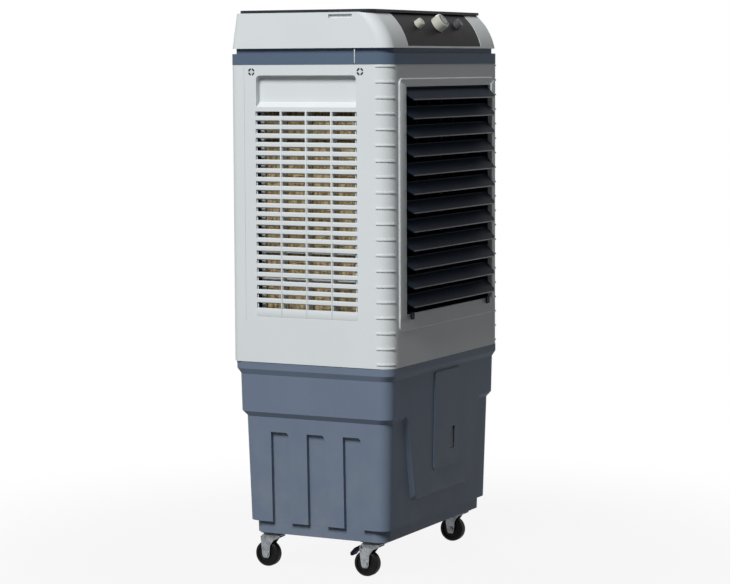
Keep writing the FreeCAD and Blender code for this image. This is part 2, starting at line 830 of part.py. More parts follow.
def grille_panel(name, left, right, columns, screws):
    """A lift-off panel: sloping slats, upright bars, a finger pocket, and a rim behind that holds the pad."""
    field_left, field_right = left + 27.0, right - 26.0
    field_low, field_high = field_heights()
    plate = box(f"{name}_plate", (left, right), (0.0, S.wall), (PANEL_LOW, PANEL_TOP))
    window = box(f"{name}_window", (field_left, field_right), (-1.0, S.wall + 1.0), (field_low, field_high))
    pad_left, pad_right, pad_low, pad_high = pad_outline(left, right)
    gap, rim = S.fit_gap, S.fit_gap + 2.0
    rim_outer = box(f"{name}_rim", (pad_left - rim, pad_right + rim), (S.wall - 0.5, S.rim_depth),
                    (pad_low - rim, pad_high + rim))
    rim_inner = box(f"{name}_rim_inside", (pad_left - gap, pad_right + gap), (S.wall, S.rim_depth + 1.0),
                    (pad_low - gap, pad_high + gap))
    pocket_top = PANEL_TOP - 19.4
    pocket_low = pocket_top - S.pocket_height
    depth = S.pocket_depth
    tub = prism(f"{name}_tub", "YZ", left + 27.0, right - 25.5, [
        (0.5, pocket_low - 2.5), (2.5, pocket_low - 2.5), (depth + 2.0, pocket_low + 9.0),
        (depth + 2.0, pocket_top + 2.0), (0.5, pocket_top + 2.0)])
    hollow = prism(f"{name}_hollow", "YZ", left + 29.0, right - 27.5, [
        (-1.0, pocket_low - 0.8), (depth, pocket_low + 11.0), (depth, pocket_top), (-1.0, pocket_top)])
    mouth = prism(f"{name}_mouth", "XZ", -2.0, depth + 1.0, [
        (left + 29.0, pocket_low - 2.0), (right - 27.5, pocket_low - 2.0),
        (right - 27.5, pocket_top, S.pocket_round), (left + 29.0, pocket_top, S.pocket_round)])
    pocket = common(f"{name}_pocket", hollow, mouth)
    bars = []
    for index in range(1, columns):
        middle = field_left + (field_right - field_left) * index / columns
        bars.append(box(f"{name}_bar_{index}", (middle - S.bar_width / 2, middle + S.bar_width / 2),
                        (S.wall - 1.5, 13.0),
                        (field_low, field_high)))
    bosses = []
    rings = []
    for index, across in enumerate(screws):
        height = PANEL_TOP - 12.0
        rings.append(rod(f"{name}_ring_{index}", S.boss_radius, (across, -1.0, height), S.wall + 2.0, "y"))
        hub = rod(f"{name}_hub_{index}", S.boss_radius / 2 + 1.0, (across, 1.0, height), S.wall - 1.0, "y")
        reach, thin = S.boss_radius, S.boss_rib / 2
        level = box(f"{name}_rib_{index}", (across - reach, across + reach), (0.4, S.wall),
                    (height - thin, height + thin))
        upright = box(f"{name}_spoke_{index}", (across - thin, across + thin), (0.4, S.wall),
                      (height - reach, height + reach))
        bore = rod(f"{name}_bore_{index}", S.screw_radius, (across, 0.0, height), S.wall + 1.0, "y")
        seat = rod(f"{name}_seat_{index}", S.screw_radius * 2 + S.fit_gap, (across, -1.0, height), 2.0, "y")
        spider = fuse(f"{name}_spider_{index}", hub, level, upright)
        bosses.append(cut(f"{name}_boss_{index}", spider, bore, seat))
    box_rim = cut(f"{name}_rim_frame", rim_outer, rim_inner)
    front = cut(f"{name}_front", fuse(f"{name}_solid", plate, box_rim, tub), window, pocket, *rings)
    return fuse(name, front, slats(f"{name}_slats", field_left, field_right), *bars, *bosses)


SIDE_TURN = Rotation(Vector(0, 0, 1), -90)
REAR_TURN = Rotation(Vector(0, 0, 1), 180)


def grille_panels():
    left, right = panel_spans()
    low_screw, high_screw = side_screws()
    side = grille_panel("side_grille", left, right, 4, (-high_screw, -low_screw))
    place(side, -HALF, 0.0, 0.0, SIDE_TURN)
    node("side_panel_left", group("left_grille", side))
    node("side_panel_right", mirrored("right_grille", side))
    rear = grille_panel("rear_grille", -REAR_PANEL_HALF, REAR_PANEL_HALF, 5, rear_screws())
    node("rear_panel", rear, 0.0, REAR, 0.0, REAR_TURN)


def pad_and_retainer():
    """Three fibre pads, each with the frame that keeps it off the grille."""
    spans = {"side": panel_spans(), "rear": (-REAR_PANEL_HALF, REAR_PANEL_HALF)}
    pads, frames = {}, {}
    for name, (edge_left, edge_right) in spans.items():
        left, right, low, high = pad_outline(edge_left, edge_right)
        front = S.pad_inset - S.retainer_thickness
        block = box(f"{name}_pad_block", (left, right), (S.pad_inset, S.pad_inset + S.pad_thickness),
                    (low, high))
        pads[name] = group(f"{name}_pad", block)
        bar = S.retainer_bar
        sheet = box(f"{name}_sheet", (left, right), (front, S.pad_inset), (low, high))
        holes = []
        levels = [low, PANEL_LOW + 84.0, PANEL_LOW + 142.0, PANEL_LOW + 384.0, high - bar]
        for index in range(4):
            holes.append(box(f"{name}_light_{index}", (left + bar, right - bar),
                             (front - 1.0, S.pad_inset + 1.0),
                             (levels[index] + bar, levels[index + 1])))
        frames[name] = cut(f"{name}_retainer", sheet, *holes)
    for kind in (pads, frames):
        place(kind["side"], -HALF, 0.0, 0.0, SIDE_TURN)
        place(kind["rear"], 0.0, REAR, 0.0, REAR_TURN)
    node("cooling_pads", group("pads", pads["side"], mirrored("right_pad", pads["side"]), pads["rear"]))
    node("pad_retainers", group("retainers", frames["side"], mirrored("right_retainer", frames["side"]),
                                frames["rear"]))


def panel_screw(name):
    screw = Bench(name)
    radius = S.screw_radius
    screw.revolve(screw.sketch("XZ", 0.0, [
        (0.0, -8.0), (radius - 0.1, -8.0), (radius - 0.1, 0.0), (radius * 2, 0.0), (radius * 2, 0.9),
        (0.0, 0.9)]))
    return screw.body


def panel_screws():
    """Two screws for each grille panel, heads in the bosses."""
    height = PANEL_TOP - 12.0
    side = []
    for index, along in enumerate(side_screws()):
        side.append(place(panel_screw(f"side_screw_{index}"), -HALF + 1.0, along, height,
                          Rotation(DIRECTIONS["z"], Vector(-1, 0, 0))))
    left = group("left_screws", *side)
    rear = [
        place(panel_screw(f"rear_screw_{index}"), across, REAR - 1.0, height,
              Rotation(DIRECTIONS["z"], DIRECTIONS["y"]))
        for index, across in enumerate(rear_screws())
    ]
    node("panel_screws", group("screws", left, mirrored("right_screws", left), *rear))


# Air outlet


def driven_vane():
    return -S.vane_pitch / 2


def vane_place(index):
    return S.vane_pitch * (index - (SIZES["vane_count"] - 1) / 2)


def louver_place(index):
    return LOUVER_TOP - S.louver_pitch * index


def louver_frame():
    """The black insert in the tunnel: it carries the louvers at its sides and the vanes at top and bottom."""
    outer = prism("insert_outer", "XZ", INSERT_FRONT, INSERT_REAR, rectangle(
        -INSERT_HALF - S.insert_wall, INSERT_HALF + S.insert_wall,
        INSERT_LOW - S.insert_wall, INSERT_TOP + S.insert_wall))
    inner = prism("insert_inner", "XZ", INSERT_FRONT - 1.0, INSERT_REAR + 1.0, rectangle(
        -INSERT_HALF, INSERT_HALF, INSERT_LOW, INSERT_TOP))
    reach = INSERT_HALF + S.insert_wall + 1.0
    bores = [
        rod(f"louver_bore_{index}", S.louver_pin + S.running_gap, (-reach, LOUVER_Y, louver_place(index)),
            reach * 2, "x")
        for index in range(SIZES["louver_count"])
    ]
    low = INSERT_LOW - S.insert_wall - 1.0
    bores += [
        rod(f"vane_bore_{index}", S.vane_pin + S.running_gap, (vane_place(index), VANE_Y, low),
            INSERT_TOP + S.insert_wall + 1.0 - low)
        for index in range(SIZES["vane_count"])
    ]
    catch = prism("left_catch", "YZ", -INSERT_HALF + 16.5, -INSERT_HALF + 30.5, [
        (INSERT_FRONT + 3.0, INSERT_LOW - 1.0), (INSERT_FRONT + 3.0, OPENING_LOW + 3.2), (FRONT - 9.5,
                OPENING_LOW + 3.2),
        (FRONT - 9.5, OPENING_LOW - 11.5), (FRONT - 7.0, OPENING_LOW - 11.5), (FRONT - 7.0,
                                                                               OPENING_LOW + 0.7),
        (INSERT_FRONT, OPENING_LOW + 0.7), (INSERT_FRONT, INSERT_LOW - 1.0)])
    frame = cut("insert_frame", outer, inner, *bores)
    return node("louver_frame", fuse("insert", frame, catch, mirrored("right_catch", catch)))


def louver(index):
    """One level blade, drawn flat about its pivot, with a lug behind for the link."""
    name = f"louver_{index + 1:02d}"
    half, thick = S.louver_half, S.louver_thickness / 2
    blade = prism(f"{name}_blade", "XY", -thick, thick, [
        (-half, S.louver_corner - S.louver_reach), (S.louver_corner - half, -S.louver_reach),
        (half - S.louver_corner, -S.louver_reach), (half, S.louver_corner - S.louver_reach), (half,
                2.0), (-half, 2.0)])
    pin = rod(f"{name}_pin", S.louver_pin, (-half - 4.5, 0.0, 0.0), half * 2 + 9.0, "x")
    turn = S.link_lead - S.louver_tilt
    lug = prism(f"{name}_lug", "YZ", -S.link_thickness - 0.2, -0.2, rectangle(
        0.0, S.link_arm + 3.0, -3.0, 3.0, 2.0))
    place(lug, turned=Rotation(Vector(1, 0, 0), turn))
    stud = rod(f"{name}_stud", S.link_pin, (-1.0, S.link_arm * cosine(turn), S.link_arm * sine(turn)),
               S.link_thickness + 1.6, "x")
    return node(name, fuse(f"{name}_whole", blade, pin, lug, stud), 0.0, LOUVER_Y, louver_place(index),
                Rotation(Vector(1, 0, 0), S.louver_tilt))


def louver_link():
    """The upright bar that joins the twelve lugs, drawn about the first louver's stud."""
    bench = Bench("tie_bar")
    length = S.louver_pitch * (S.louver_count - 1)
    bar = bench.sketch("YZ", 0.1, rectangle(
        -S.link_width / 2, S.link_width / 2, -length - S.link_end, S.link_end, 2.0))
    bench.pad(bar, S.link_thickness)
    hole = bench.pocket(bench.sketch("YZ", -1.0, circles=[(0.0, 0.0, S.link_pin + S.running_gap)]),
                        S.link_thickness + 3.0, True)
    bench.row(hole, "XY", S.louver_pitch, S.louver_count, True)
    return node("louver_link", bench.body, 0.0, LOUVER_Y + S.link_arm * cosine(S.link_lead),
                LOUVER_TOP + S.link_arm * sine(S.link_lead))


def vane(index):
    """One upright vane, drawn about its pivot, with a crank on top for the link."""
    name = f"vane_{index + 1}"
    thick = S.vane_thickness / 2
    low = INSERT_LOW + 3.0
    head = VANE_TOP + 3.0
    blade = box(f"{name}_blade", (-thick, thick), (-S.vane_chord / 2, S.vane_chord / 2), (low, VANE_TOP))
    crank = prism(f"{name}_crank", "XY", VANE_TOP - 0.5, head,
                  rectangle(-4.0, 4.0, -6.0, S.link_arm + 4.0, 3.0))
    top = rod(f"{name}_top_pin", S.vane_pin, (0.0, 0.0, VANE_TOP - 0.5),
              INSERT_TOP + S.insert_wall - VANE_TOP)
    stud = rod(f"{name}_stud", S.link_pin + 0.5, (0.0, S.link_arm, VANE_TOP), 8.0)
    drop = S.swing_motor_height / 2 if index == 2 else 0.0
    foot = INSERT_LOW - S.insert_wall + 0.5 - drop
    bottom = rod(f"{name}_bottom_pin", S.vane_pin, (0.0, 0.0, foot), low + 8.0 - foot)
    return node(name, fuse(f"{name}_whole", blade, crank, top, stud, bottom), vane_place(index), VANE_Y,
                0.0)


def vane_link():
    """The level bar that joins the six cranks, drawn about the first vane's stud."""
    bench = Bench("vane_bar")
    length = S.vane_pitch * (S.vane_count - 1)
    bar = bench.sketch("XY", VANE_TOP + 3.3, rectangle(-6.0, length + 6.0, -S.link_width / 2,
                                                       S.link_width / 2, 2.0))
    bench.pad(bar, S.link_thickness + 1.4)
    hole = bench.pocket(bench.sketch("XY", VANE_TOP + 1.0,
                                     circles=[(0.0, 0.0, S.link_pin + 0.5 + S.running_gap)]), 12.0, True)
    bench.row(hole, "YZ", S.vane_pitch, S.vane_count)
    return node("vane_link", bench.body, vane_place(0), VANE_Y + S.link_arm, 0.0)


def swing_motor():
    """The small geared motor under the tunnel that turns the third vane."""
    radius, height = S.swing_motor_radius, S.swing_motor_height
    top = INSERT_LOW - TUNNEL_WALL
    can = rod("swing_can", radius, (driven_vane(), VANE_Y, top - height), height)
    bore = rod("swing_bore", S.vane_pin + S.running_gap, (driven_vane(), VANE_Y, top - height * 0.75),
               height)
    return node("swing_motor", cut("swing_body", can, bore))


# Fan


def fan_shroud():
    """The plate behind the tunnel, the round duct that the fan runs in, and four arms that hold the motor."""
    half = INSERT_HALF + TUNNEL_WALL
    plate = box("shroud_plate", (-half, half), (TUNNEL_REAR, TUNNEL_REAR + S.wall),
                (INSERT_LOW - TUNNEL_WALL, INSERT_TOP + TUNNEL_WALL))
    duct = rod("duct_outer", S.ring_radius + S.wall, (0.0, TUNNEL_REAR, FAN_HEIGHT), S.ring_length, "y")
    bore = rod("duct_inner", S.ring_radius, (0.0, TUNNEL_REAR - 1.0, FAN_HEIGHT), S.ring_length + 2.0, "y")
    cup = S.motor_radius + S.fit_gap
    arms = Bench("arms")
    reach = arms.sketch("XZ", 0.0, rectangle(cup + 1.0, S.ring_radius + S.wall, -S.arm_width / 2,
                                             S.arm_width / 2))
    arms.ring(arms.pad(reach, 8.0, True), "Y", 4)
    place(arms.body, 0.0, RING_REAR - 0.5, FAN_HEIGHT, Rotation(Vector(0, 1, 0), 45))
    clamp = rod("clamp_outer", cup + 4.0, (0.0, RING_REAR - 0.5, FAN_HEIGHT), 40.0, "y")
    seat = rod("clamp_inner", cup, (0.0, RING_REAR - 2.0, FAN_HEIGHT), 45.0, "y")
    ring = cut("shroud_duct", fuse("shroud_front", plate, duct), bore)
    return node("fan_shroud", fuse("shroud", ring, arms.body, cut("motor_clamp", clamp, seat)))


def fan_motor():
    motor = Bench("motor")
    radius, length, bore = S.motor_radius, S.motor_length, S.shaft_radius + S.running_gap
    motor.revolve(motor.sketch("XZ", 0.0, [
        (bore, -8.0), (14.0, -8.0), (14.0, 0.0), (radius - 4.0, 0.0), (radius, 4.0), (radius, length - 7.0),
        (radius - 7.0, length), (16.0, length),
        (16.0, length + 6.0), (0.0, length + 6.0), (0.0, length - 20.0), (bore, length - 20.0)]))
    return node("fan_motor", motor.body, 0.0, RING_REAR + 1.0, FAN_HEIGHT, Rotation(Vector(1, 0, 0), -90))


def blade_section(radius, chord, pitch, thickness):
    """A cambered aerofoil across the blade at one radius, turned to its pitch."""
    edge = thickness / 3
    front, back = -chord / 2, chord / 2
    points = [Vector(radius, front, edge), Vector(radius, 0, S.blade_camber + thickness / 2),
              Vector(radius, back, edge),
              Vector(radius, back, 0), Vector(radius, 0, S.blade_camber - thickness / 2), Vector(radius,
                                                                                                 front, 0)]
    upper = Part.Arc(points[0], points[1], points[2]).toShape()
    lower = Part.Arc(points[3], points[4], points[5]).toShape()
    wire = Part.Wire([upper, Part.makeLine(points[2], points[3]), lower,
                      Part.makeLine(points[5], points[0])])
    wire.rotate(Vector(radius, 0, S.blade_camber / 2), Vector(1, 0, 0), pitch)
    return wire


def fan_blades():
    """Twisted blades lofted through three sections, wide and flat at the tip, narrow and steep at the hub."""
    root_radius = S.hub_radius - 2.0
    sections = []
    for share in (0.0, 0.5, 1.0):
        sections.append(blade_section(
            float(root_radius + (S.fan_radius + 2.0 - root_radius) * share),
            float(S.root_chord + (S.tip_chord - S.root_chord) * share),
            float(S.root_pitch + (S.tip_pitch - S.root_pitch) * (2 - share) * share),
            float(S.blade_thickness)))
    reach = float(S.fan_depth) * 2
    sweep = Part.makeCylinder(float(S.fan_radius), reach * 2, Vector(0, 0, -reach))
    blade = Part.makeLoft(sections, True, False).common(sweep).Solids[0]
    count = SIZES["blade_count"]
    blades = []
    for index in range(count):
        turned = blade.copy()
        turned.rotate(Vector(0, 0, 0), Vector(0, 0, 1), 360 / count * index)
        blades.append(turned)
    made = doc.addObject("Part::Feature", "fan_blades")
    made.Shape = Part.makeCompound(blades)
    return made


def fan():
    """Hub, blades and shaft, drawn about the axis with Z pointing at the motor."""
    hub = Bench("hub")
    radius, half = S.hub_radius, S.fan_depth / 2
    hub.revolve(hub.sketch("XZ", 0.0, [
        (0.0, -half), (radius - 12.0, -half), (radius - 3.0, -half + 3.0), (radius, -half + 9.0), (radius,
                half), (radius - 3.0, half), (radius - 3.0, -half + 4.0),
        (12.0, -half + 4.0), (12.0, half), (S.shaft_radius, half), (S.shaft_radius, half + 50.0), (0.0,
                half + 50.0)]))
    return node("fan", fuse("fan_whole", hub.body, fan_blades()), 0.0, FAN_PLANE, FAN_HEIGHT,
                Rotation(Vector(1, 0, 0), -90))


# Water


def pump_place():
    """Behind the left pad and ahead of the rear one, in the cabinet's rear left corner."""
    inside = S.pad_inset + S.pad_thickness + S.pipe_radius
    return -(HALF - inside - S.pipe_side_gap), REAR - inside - S.pipe_rear_gap


def pump():
    """The submersible pump on the tank's floor, with its outlet pointing up."""
    across, along = pump_place()
    half = S.pump_width / 2
    height = S.pump_height
    foot = prism("pump_foot", "XY", FLOOR_Z, FLOOR_Z + 12.0,
                 rectangle(across - half, across + half, along - half + 6.0, along + half - 6.0, 5.0))
    case = rod("pump_case", half - 6.0, (across, along, FLOOR_Z + 11.0), height - 11.0)
    spout = rod("pump_spout", S.pipe_radius - S.pipe_wall - 0.1, (across, along, FLOOR_Z + height - 1.0),
                15.0)
    return node("pump", fuse("pump_body", foot, case, spout))


def riser_pipe():
    across, along = pump_place()
    low = FLOOR_Z + S.pump_height
    high = SHELL_TOP + S.tray_height - 4.0
    outer = rod("pipe_outer", S.pipe_radius, (across, along, low), high - low)
    inner = rod("pipe_inner", S.pipe_radius - S.pipe_wall, (across, along, low - 1.0), high - low + 2.0)
    return node("riser_pipe", cut("pipe", outer, inner))


def water_tray():
    """The basin in the collar. Slots in its floor let the water down onto the three pads."""
    low = SHELL_TOP + S.wall
    inset = S.neck_inset + S.wall + 0.5
    outer = slab("tray_outer", inset, low, low + S.tray_height)
    inner = slab("tray_inner", inset + S.tray_wall, low + S.tray_wall, low + S.tray_height + 1.0)
    middle = S.pad_inset + S.pad_thickness / 2
    cuts = []
    for index in range(4):
        along = -90.0 + 60.0 * index
        for side in (-1, 1):
            across = side * (HALF - middle)
            cuts.append(box(f"drip_{side + 1}_{index}", (across - 2.0, across + 2.0),
                            (along - 20.0, along + 20.0), (low - 1.0, low + 4.0)))
    for index in range(5):
        across = -160.0 + 80.0 * index
        rear = REAR - middle
        cuts.append(box(f"drip_rear_{index}", (across - 25.0, across + 25.0), (rear - 2.0, rear + 2.0),
                        (low - 1.0, low + 4.0)))
    across, along = pump_place()
    cuts.append(rod("tray_pipe_hole", S.pipe_radius + S.fit_gap, (across, along, low - 1.0), 10.0))
    return node("water_tray", cut("tray", outer, inner, *cuts))


# Collar, hood, lid and controls


def collar():
    """The ring between the cabinet and the hood, with a narrow neck that leaves a shadow line."""
    wall = S.wall
    band = slab("collar_band", -0.5, SHELL_TOP, COLLAR_SEAM, S.front_radius + 0.5, S.rear_radius + 0.5)
    neck = slab("collar_neck", S.neck_inset, COLLAR_SEAM - 1.0, COLLAR_TOP)
    room = slab("collar_room", wall - 0.5, SHELL_TOP + wall, COLLAR_SEAM - wall)
    throat = slab("collar_throat", S.neck_inset + wall, COLLAR_SEAM - wall - 1.0, COLLAR_TOP + 1.0)
    below = slab("collar_below", S.pad_inset - 4.0, SHELL_TOP - 1.0, SHELL_TOP + wall + 1.0, 14.0, 5.0)
    return node("collar", cut("collar_ring", fuse("collar_solid", band, neck), room, throat, below))


def hood_form(name, inset, low, high):
    """The hood's outside or a shape set in from it: the front follows an arc and the back leans forward."""
    sections = []
    for index in range(5):
        height = low + (high - low) * index / 4
        rise = height - (COLLAR_TOP - S.fascia_down)
        front = FRONT + S.fascia_back - root(S.fascia_radius * S.fascia_radius - rise * rise) + inset
        rear = REAR - S.hood_slant * (height - COLLAR_TOP) / S.hood_height - inset
        radius = S.hood_radius - inset
        rear_radius = S.rear_radius - inset
        sections.append(profile(f"{name}_{index}", "XY", height, [
            (-HALF + inset, front, radius), (HALF - inset, front, radius),
            (HALF - inset, rear, rear_radius), (-HALF + inset, rear, rear_radius)]))
    return loft(name, sections, smooth=True)


def control_band(name, gap, depth):
    """The stretch of the hood's front that the control panel fills."""
    half = S.control_half + gap
    span = box(f"{name}_span", (-half, half), (FRONT - 10.0, FRONT + 90.0),
               (COLLAR_TOP + S.control_low, HOOD_TOP + gap * 5 - 0.2))
    return cut(name, span, hood_form(f"{name}_back", depth, COLLAR_TOP - 1.0, HOOD_TOP + 2.0))


def hinge_axis():
    return LID_REAR + 3.5, HOOD_TOP + 3.1


def hinge_pieces():
    """Knuckles for the lid's hinge on the hood, with a bore for the pins."""
    along, height = hinge_axis()
    lugs, bores = [], []
    for side in (-1, 1):
        middle = side * S.hinge_across
        for hand in (-1, 1):
            inner = middle + hand * (S.hinge_length / 2 + S.fit_gap)
            outer = middle + hand * (S.hinge_length / 2 + 12.0)
            low, high = (inner, outer) if hand > 0 else (outer, inner)
            tag = f"{side + 1}_{hand + 1}"
            lugs.append(rod(f"lug_{tag}", 2.8, (low, along, height), high - low, "x"))
            lugs.append(box(f"lug_foot_{tag}", (low, high), (along - 2.4, along + 2.4),
                            (HOOD_TOP - 1.0, height)))
        reach = S.hinge_length / 2 + 10.5
        bores.append(rod(f"hinge_bore_{side + 1}", S.hinge_pin + S.running_gap,
                         (middle - reach, along, height), reach * 2, "x"))
    return lugs, bores


def hood():
    """The top housing: a curved front for the controls, a dry bay behind it, and a well under the lid."""
    wall = S.wall
    outer = hood_form("hood_outside", 0.0, COLLAR_TOP, HOOD_TOP)
    inner = hood_form("hood_inside", wall, COLLAR_TOP + wall, HOOD_TOP - wall)
    well_front = LID_FRONT + 33.0
    partition = box("hood_partition", (-HALF + 1.0, HALF - 1.0), (well_front - 3.0, well_front),
                    (COLLAR_TOP + 1.0, HOOD_TOP - 1.0))
    top = prism("hood_mouth", "XY", HOOD_TOP - wall - 1.0, HOOD_TOP + 1.0, rectangle(
        -HALF + 21.0, HALF - 21.0, well_front, LID_REAR - 13.0, 8.0))
    bottom = prism("hood_floor", "XY", COLLAR_TOP - 1.0, COLLAR_TOP + wall + 1.0, rectangle(
        -HALF + 21.0, HALF - 21.0, well_front, LID_REAR - 13.0, 8.0))
    catch_block = box("catch_block", (-HALF + 1.0, -HALF + 9.0), (-107.0, -44.0),
                      (HOOD_TOP - 17.0, HOOD_TOP - 1.0))
    catch_notch = box("catch_notch", (-HALF - 1.0, -HALF + 6.0), (-103.0, -48.0),
                      (HOOD_TOP - 12.0, HOOD_TOP - 4.0))
    lugs, bores = hinge_pieces()
    shell = fuse("hood_shell", cut("hood_hollow", outer, inner), partition, catch_block,
                 mirrored("right_catch_block", catch_block), *lugs)
    return node("hood", cut("hood_body", shell, top, bottom, control_band("control_cut", 0.2, wall + 1.0),
                            catch_notch,
                            mirrored("right_notch", catch_notch), *bores))


def fascia_turn():
    """The knobs stand square to the fascia's arc at their own height."""
    rise = S.knob_height + S.fascia_down
    return math.degrees(math.acos(rise / S.fascia_radius))


def fascia_point(depth):
    """A point at the knobs' height, some depth under the hood's face."""
    rise = S.knob_height + S.fascia_down
    reach = root(S.fascia_radius * S.fascia_radius - rise * rise)
    share = (S.fascia_radius - depth) / S.fascia_radius
    return FRONT + S.fascia_back - reach * share, COLLAR_TOP - S.fascia_down + rise * share


def knob_spots():
    return (("knob_left", -S.knob_pitch), ("knob_centre", 0.0), ("knob_right", S.knob_pitch))


def control_panel():
    """The black strip on the hood's front, with a hole for each shaft."""
    band = common("control_strip", control_band("control_blank", 0.0, S.wall + 1.0),
                  hood_form("control_face", 1.0, COLLAR_TOP, HOOD_TOP))
    along, height = fascia_point(6.0)
    holes = [
        place(rod(f"{name}_hole", S.knob_shaft + 0.6, (0.0, 0.0, 0.0), 12.0), across, along, height,
              Rotation(Vector(1, 0, 0), fascia_turn()))
        for name, across in knob_spots()
    ]
    return node("control_panel", cut("control_body", band, *holes))


def knob(name, across, radius, length):
    """A round knob with a flat pointer ridge, drawn about its shaft with Z pointing out."""
    bench = Bench(name)
    shaft = S.knob_shaft
    bench.revolve(bench.sketch("XZ", 0.0, [
        (0.0, -14.0), (shaft, -14.0), (shaft, 0.0), (radius, 0.0), (radius - 1.0,
                length - 2.0), (radius - 3.0, length), (0.0, length)]))
    bench.pad(bench.sketch("XY", length - 1.0, rectangle(-1.5, 1.5, 0.0, radius - 3.5)), 1.8)
    along, height = fascia_point(0.5)
    return node(name, bench.body, across, along, height, Rotation(Vector(1, 0, 0), fascia_turn()))


def knobs():
    for name, across in knob_spots():
        large = name == "knob_centre"
        radius = S.large_knob_radius if large else S.small_knob_radius
        length = S.large_knob_length if large else S.small_knob_length
        knob(name, across, radius, length)


def rotary_switches():
    """The three switches behind the panel. Each has a bore that takes its knob's shaft."""
    along, height = fascia_point(S.wall + 1.6)
    made = []
    for name, across in knob_spots():
        switch = Bench(f"{name}_switch")
        bore = S.knob_shaft + S.running_gap
        switch.revolve(switch.sketch("XZ", 0.0, [
            (bore, 0.0), (11.0, 0.0), (11.0, -16.0), (0.0, -16.0), (0.0, -12.0), (bore, -12.0)]))
        made.append(place(switch.body, across, along, height, Rotation(Vector(1, 0, 0), fascia_turn())))
    return node("rotary_switches", group("switches", *made))


def top_lid():
    """The flat lid, hollow underneath, with hinge barrels at its rear edge. Drawn about the hinge axis."""
    along, height = hinge_axis()
    low = HOOD_TOP + S.fit_gap - height
    high = LID_TOP - height
    front, rear = LID_FRONT - along, LID_REAR - along
    outline = [(-HALF, front, S.lid_radius), (HALF, front, S.lid_radius), (HALF, rear, S.rear_radius),
               (-HALF, rear, S.rear_radius)]
    rim = 4.0
    hollow = [(-HALF + rim, front + rim, S.lid_radius - rim), (HALF - rim, front + rim, S.lid_radius - rim),
              (HALF - rim, rear - rim, S.rear_radius - rim), (-HALF + rim, rear - rim, S.rear_radius - rim)]
    plate = cut("lid_plate", prism("lid_outline", "XY", low, high, outline),
                prism("lid_hollow", "XY", low - 1.0, high - 2.8, hollow))
    pieces = [plate]
    for side in (-1, 1):
        middle = side * S.hinge_across
        half = S.hinge_length / 2
        pieces.append(rod(f"barrel_{side + 1}", 2.8, (middle - half, 0.0, 0.0), half * 2, "x"))
        pieces.append(box(f"barrel_web_{side + 1}", (middle - half, middle + half), (rear - 1.0, 0.0),
                          (low, high - 0.2)))
        reach = half + 9.5
        pieces.append(rod(f"hinge_pin_{side + 1}", S.hinge_pin, (middle - reach, 0.0, 0.0), reach * 2, "x"))
    return node("top_lid", fuse("lid", *pieces), 0.0, along, height)


# Casters. Each is drawn about its kingpin with the floor at Z = 0 and the wheel trailing to the rear.

CASTERS = {"fl": (-1, -1), "fr": (1, -1), "rl": (-1, 1), "rr": (1, 1)}
FORK_TOP = S.caster_height - S.plate_thickness - S.raceway_height - 0.3


def caster_spot(corner):
    side, end = CASTERS[corner]
    along = REAR - S.caster_rear_inset if end > 0 else FRONT + S.caster_front_inset
    return (HALF - S.caster_side_inset) * side, along


def caster_plates():
    """The four square plates under the tank, each with its bearing race and the kingpin's bore."""
    plates = []
    for corner in CASTERS:
        across, along = caster_spot(corner)
        half = S.caster_plate / 2
        top = TANK_BOTTOM
        low = top - S.plate_thickness
        plate = prism(f"plate_{corner}", "XY", low, top,
                      rectangle(across - half, across + half, along - half, along + half, 4.0))
        race = rod(f"race_{corner}", S.raceway_radius, (across, along, low - S.raceway_height),
                   S.raceway_height)
        bore = rod(f"king_bore_{corner}", S.kingpin_radius + S.running_gap,
                   (across, along, low - S.raceway_height - 1.0), S.raceway_height + 2.5)
        plates.append(cut(f"mount_{corner}", fuse(f"stack_{corner}", plate, race), bore))
    return node("caster_plates", group("plates", *plates))


